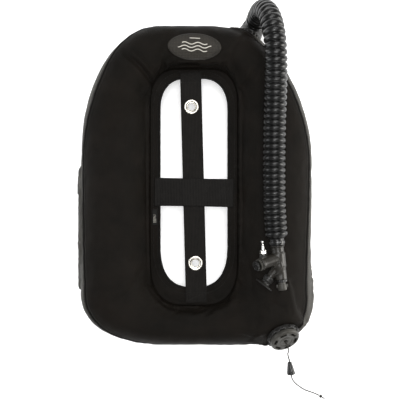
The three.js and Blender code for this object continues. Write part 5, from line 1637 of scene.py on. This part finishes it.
def tie(matrix, bore, middle, name, node):
    # cable tie: a toothed band, its square head and the trimmed tail
    def teeth(angle, radius, height):
        return 0.00016 * np.sin(angle * 90) * (radius > (bore + 0.8) / 1000)
    band = latheMesh(name + "Band", [(bore, middle - 2), (bore + 1.3, middle - 2), (bore + 1.3, middle + 2),
                                     (bore, middle + 2), (bore, middle - 2)], matrix, 180, 0.3, teeth)
    head = boxMesh(name + "Head", mm(5.6, 4.8, 3.4), shifted(matrix, 0, middle, bore + 2.3), 0.0007, 3)
    tail = boxMesh(name + "Tail", mm(4.4, 3.2, 0.9), shifted(matrix, 4.2, middle, bore + 2.4), 0.0003, 2)
    addObject(name, [band, head, tail], "gloss", node=node)


addPort()
print("hose port made")


# ---- dump valve ----

dumpValues = {"slots": 6, "slotMm": (11.6, 7, 4.8), "slotRimMm": (7, 15.4, 21.6), "lugs": 10, "ribs": 36}


def addDumpValve():
    v = dumpValues
    addGasket("dumpGasket", dumpMatrix, "dump_gasket")

    def lugs(angle, radius, height):
        out = np.clip(np.sin(angle * v["lugs"]) * 3, -1, 1) * 0.5 + 0.5
        ribs = 0.0004 * np.clip(np.sin(angle * 60) * 2, -1, 1)
        return ((out - 1) * 0.0024 + ribs * out) * (radius > 0.0262) * (height > 0.0023)
    base = latheMesh("dumpBase", [(9, 2.2), (28.6, 2.2), (29.4, 3.2), (29.4, 8.2), (28.4, 9.5), (22.8, 9.5),
                                  (22.6, 9.2), (22.6, 5.6), (22.2, 5.2), (9, 5.2), (9, 2.2)],
                     dumpMatrix, 240, 0.35, lugs)
    addObject("dumpBase", base, "black", node="dump_base")

    def grooves(angle, radius, height):
        return -0.0005 * (np.sin(angle * v["ribs"]) > 0.2) * (radius > 0.0255) * (height < 0.0142)
    cap = latheMesh("dumpCapShell", [(3.2, 15.3), (22.6, 15.3), (22.6, 9.9), (26, 9.9), (26, 14.6),
                                     (25.6, 16), (24.2, 17.2), (22.6, 17.7), (12.5, 17.8), (11.8, 17.2), (10.4, 17.2),
                                     (9.6, 17.8), (6.4, 17.9), (4.4, 17.6), (3.2, 16.8), (3.2, 15.3)],
                    dumpMatrix, 144, 0.35, grooves)
    half, low, high = v["slotRimMm"]
    corners = ((-half, low), (half, low), (half, high), (-half, high), (-half, low))
    cutters, rims = [], []
    for slot in range(v["slots"]):
        turn = dumpMatrix @ Matrix.Rotation(2 * math.pi * slot / v["slots"], 4, "Y")
        cutters.append(boxMesh("slotCutter", mm(*v["slotMm"]), shifted(turn, 0, 16, 18.6), 0.0008, 3))
        line = [turn @ mm(x, 17.75, z) for x, z in corners]
        path = np.concatenate([np.linspace(a, b, 6, endpoint=False) for a, b in zip(line[:-1], line[1:])]
                              + [asRows(line[-1:])])
        rims.append(tubeMesh("slotRim", path, np.full(len(path), 0.00035), 6, capped=False))
    slotted = cutMesh(cap, [joinMeshes("slotCutters", cutters)])
    made = addObject("dumpCap", [slotted, *rims], "grey", node="dump_cap")
    smoothByAngle(made)


addDumpValve()
print("dump valve made")


# ---- power inflator ----

inflatorValues = {
    "voxelMm": 0.65, "housing": (-0.87, -0.2, 0.45), "arm": (-0.68, -0.733, 0.0),
    "housingMm": -36, "armMm": -49, "exhaustMm": (2, -73.5, 0), "bossMm": -24.5, "valveShiftMm": 5,
    "archMm": ((-17, -58, 7.4), (-9.5, -51, 9.8), (-4.5, -45.5, 11.7), (-1.0, -42.6, 12.3),
               (2.6, -45.0, 12.1), (3.0, -50.5, 11.4), (-1.0, -56.5, 10.2), (-8.5, -63.8, 7.4)),
}


def inInflator(place, axis):
    # a place and direction given in the inflator's own frame
    turn = inflatorMatrix.to_3x3()
    return axisMatrix(inflatorMatrix @ mm(*place), turn @ Vector(axis), turn @ up)


def addInflator():
    v = inflatorValues
    trunkFrame = inflatorMatrix
    bossFrame = shifted(trunkFrame, v["bossMm"], 0, 0)
    footFrame = shifted(trunkFrame, v["exhaustMm"][0], 0, 0)
    housingFrame = inInflator((0, v["housingMm"], 0), v["housing"])
    armFrame = inInflator((0, v["armMm"], 0), v["arm"])
    parts = [
        latheMesh("trunk", [(0, -73.5), (8.9, -73.5), (8.9, -65.5), (9.4, -63), (11.6, -52), (12, -49.5),
                            (12, -30), (11.4, -27.5), (10.4, -25.5), (10.4, -17.5), (12.2, -17.2),
                            (12.2, -15.3), (9.4, -15), (9.4, -1), (0, -1)], trunkFrame, 64, 0.5),
        latheMesh("housing", [(0, 0), (11, 0), (10.4, 14), (9.8, 26.6), (9.8, 37.7), (0, 37.7)], housingFrame,
                  64, 0.6),
        latheMesh("boss", [(0, -44), (6.4, -44), (7.6, -42), (7.6, -27.4), (0, -27.4)],
                  bossFrame, 56, 0.7),
        latheMesh("exhaustHousing", [(0, -73.4), (9.2, -73.4), (9.2, -57), (8, -54), (0, -54)],
                  footFrame, 56, 0.6),
        latheMesh("arm", [(0, 0), (8.4, 0), (7.6, 12), (6.6, 22), (6.6, 33), (0, 33)], armFrame, 56, 0.4),
        boxMesh("bossWeb", mm(15, 11, 7), shifted(trunkFrame, -14.5, -37.5, -0.5), 0.002, 3),
    ]
    # raised arch where the arm leaves the trunk, two ribs round the trunk and a collar on the housing
    line = smoothPath([trunkFrame @ mm(*p) for p in v["archMm"]], 60)[0]
    parts.append(tubeMesh("armArch", line, np.full(60, 0.00125), 10))
    for y in (-28.5, -50.0):
        ring = [trunkFrame @ mm(11.7 * math.cos(t), y, 11.7 * math.sin(t))
                for t in np.linspace(-0.5, 1.2, 20)]
        parts.append(tubeMesh("trunkRib", asRows(ring), np.full(20, 0.0008), 8))
    parts.append(latheMesh("housingCollar", [(0, 32.8), (10.7, 32.8), (10.7, 36.6), (0, 36.6)], housingFrame,
                           64, 0.5))
    body = fusedMesh("inflatorBody", parts, v["voxelMm"] / 1000, 4)
    bores = [latheMesh("exhaustBore", [(0, -78), (7, -78), (7, -59.5), (0, -59.5)],
                       footFrame, 40, 0),
             latheMesh("inflateBore", [(0, 25), (7, 25), (7, 45), (0, 45)], housingFrame, 40, 0),
             latheMesh("armBore", [(0, 6), (4.6, 6), (4.6, 40), (0, 40)], armFrame, 40, 0),
             latheMesh("hoseBore", [(0, -40), (4.6, -40), (4.6, 4), (0, 4)], trunkFrame, 40, 0)]
    body = cutMesh(body, bores)
    made = [addObject("inflatorBody", body, "inflator",
                      node="inflator_body")]
    smoothByAngle(made[0], 40)
    made += addInflateValve(shifted(housingFrame, 0, v["valveShiftMm"], 0))
    made += addExhaustValve(inInflator(v["exhaustMm"], (0, -1, 0)))
    made.append(addMouthpiece(armFrame))
    made.append(addNipple(shifted(bossFrame, 0, -26.7, 0)))
    tie(inflatorMatrix, 12.55, -9.5, "lowerTie", "lower_tie")
    return made


def addInflateValve(facing):
    bezel = latheMesh("inflateBezel", [(6.75, 33.3), (10.0, 33.3), (10.3, 33.8), (10.3, 35.8), (9.8, 36.3),
                                       (6.75, 36.3), (6.75, 33.3)], facing, 144, 0.2,
                      knurl(18, 0.7, 33.4, 36.2))
    button = latheMesh("inflateButton", [(0, 28.5), (6.4, 28.5), (6.4, 39.6), (8.3, 39.6), (8.6, 40.1),
                                         (8.6, 42.0), (8.0, 42.9), (6.6, 43.0), (6.2, 42.6), (5.0, 42.5),
                                         (4.6, 42.9), (3.0, 42.9), (2.6, 42.5), (0, 42.4)], facing, 144, 0.2,
                      knurl(28, 0.45, 39.8, 42.6))
    return [addObject("inflateBezel", bezel, "grey", node="inflate_bezel"),
            addObject("inflateButton", button, "gloss", "inflate_button",
                      "inflate_button")]


def addExhaustValve(facing):
    bezel = latheMesh("exhaustBezel", [(6.8, 0.3), (9.0, 0.3), (9.2, 0.7), (9.2, 3.0), (8.9, 3.7), (6.8, 3.7),
                                       (6.8, 0.3)], facing, 144, 0.2, knurl(24, 0.4, 0.6, 3.3))
    cap = latheMesh("exhaustCap", [(0, -3), (6.5, -3), (6.5, 8), (7.6, 8), (7.9, 8.5), (7.9, 15.6),
                                   (7.2, 17.4), (6.3, 17.9), (3.5, 18.0), (3.0, 17.6), (0, 17.5)],
                    facing, 144, 0.35, knurl(20, 0.35, 8.8, 14.6))
    seal = latheMesh("exhaustSeal", [(0, -4.8), (6.3, -4.8), (6.5, -4.5), (6.5, -3.5), (6.3, -3.3),
                                     (0, -3.3)], facing, 48, 0.2)
    lugs = [boxMesh("exhaustLug", mm(3.2, 5.4, 4.2), shifted(facing, side, 10.5, 0), 0.0008, 3)
            for side in (-8.2, 8.2)]
    return [addObject("exhaustBezel", bezel, "gloss", node="exhaust_bezel"),
            addObject("exhaustCap", [cap, *lugs], "grey", "exhaust_button",
                      "exhaust_button"),
            addObject("exhaustSeal", seal, "seal", "exhaust_button",
                      "exhaust_seal")]


def addMouthpiece(arm):
    facing = shifted(arm, 0, 24.8, 0)

    def oval(angle, radius, height):
        # the bite flange is narrower from top to bottom
        outer = np.clip((radius - 0.008) / 0.008, 0, 1)
        return np.where(height > 0.0142, -0.0022, 0) * np.abs(np.sin(angle)) ** 2 * outer
    mouth = latheMesh("biteMouthpiece", [
        (6.9, 0), (8.5, 0), (8.9, 0.6), (8.9, 2.4), (8.3, 2.9), (8.9, 3.4), (8.9, 8.0), (8.4, 8.8),
        (7.4, 9.8), (7.2, 12.2), (8.6, 14.2), (12.5, 15.6), (16.2, 16.0), (17, 16.9), (16.4, 17.9), (12.0, 17.7),
        (8.0, 16.9), (5.4, 16.6), (4.6, 15.6), (4.6, 8.5), (6.9, 8.5), (6.9, 0)], facing, 96, 0.3, oval)
    band = latheMesh("mouthBand", [(8.95, 1.0), (9.5, 1.2), (9.6, 3.6), (9.5, 4.6), (8.95, 4.8), (8.95, 1.0)],
                     facing, 96, 0.2)
    return addObject("biteMouthpiece", [mouth, band], "seal",
                     node="mouthpiece")


def addNipple(facing):
    def hexagon(angle, radius, height):
        # the foot of the nipple is a hexagon for a spanner
        flat = 0.0066 * math.cos(math.pi / 6) / np.cos((angle % (math.pi / 3)) - math.pi / 6)
        return np.where(height < 0.0045, 1, 0) * (radius > 0.005) * (flat - radius)
    nipple = latheMesh("quickDisconnect", [(1.2, 0), (6.6, 0), (6.6, 4.4), (5.8, 4.6), (5.8, 4.9), (6, 5.1),
                                           (6, 6.1), (5.6, 6.4), (2.9, 6.6), (2.9, 13.6), (2.2, 14.6),
                                           (2.2, 17.4), (2.9, 18.3), (2.9, 21.2), (2.4, 22), (1.4, 22),
                                           (1.2, 21.4), (1.2, 0)], facing, 96, 0.15, hexagon)
    made = addObject("quickDisconnect", nipple, "chrome", node="qd_nipple")
    smoothByAngle(made, 30)
    return made


inflatorPieces = addInflator()
print("inflator made")


# ---- what stays hidden inside: bladder, flanges, springs and the dump disc ----

bladderInset = 0.0062


def addBladder():
    # the welded film bladder lies just inside the shell, so it follows the shell's own shape
    inner = shell[::2, ::2] - shellNormals[::2, ::2] * bladderInset
    mesh = gridMesh("bladder", inner, closeRows=True, closeColumns=True, flip=True)
    openAtValves(mesh, "film")
    bladder = addObject("bladder", mesh, "film", node="air_bladder")


addBladder()
finishes = {"port_flange": "black", "dump_flange": "black", "dump_disc": "seal", "dump_spring": "steel",
            "inflate_spring": "steel", "exhaust_spring": "steel"}
for node, look in finishes.items():
    piece = cadNodes[node]
    for place in piece.material_slots:
        place.material = materials[look]
    piece.data.polygons.foreach_set("use_smooth", np.zeros(len(piece.data.polygons), dtype=bool))
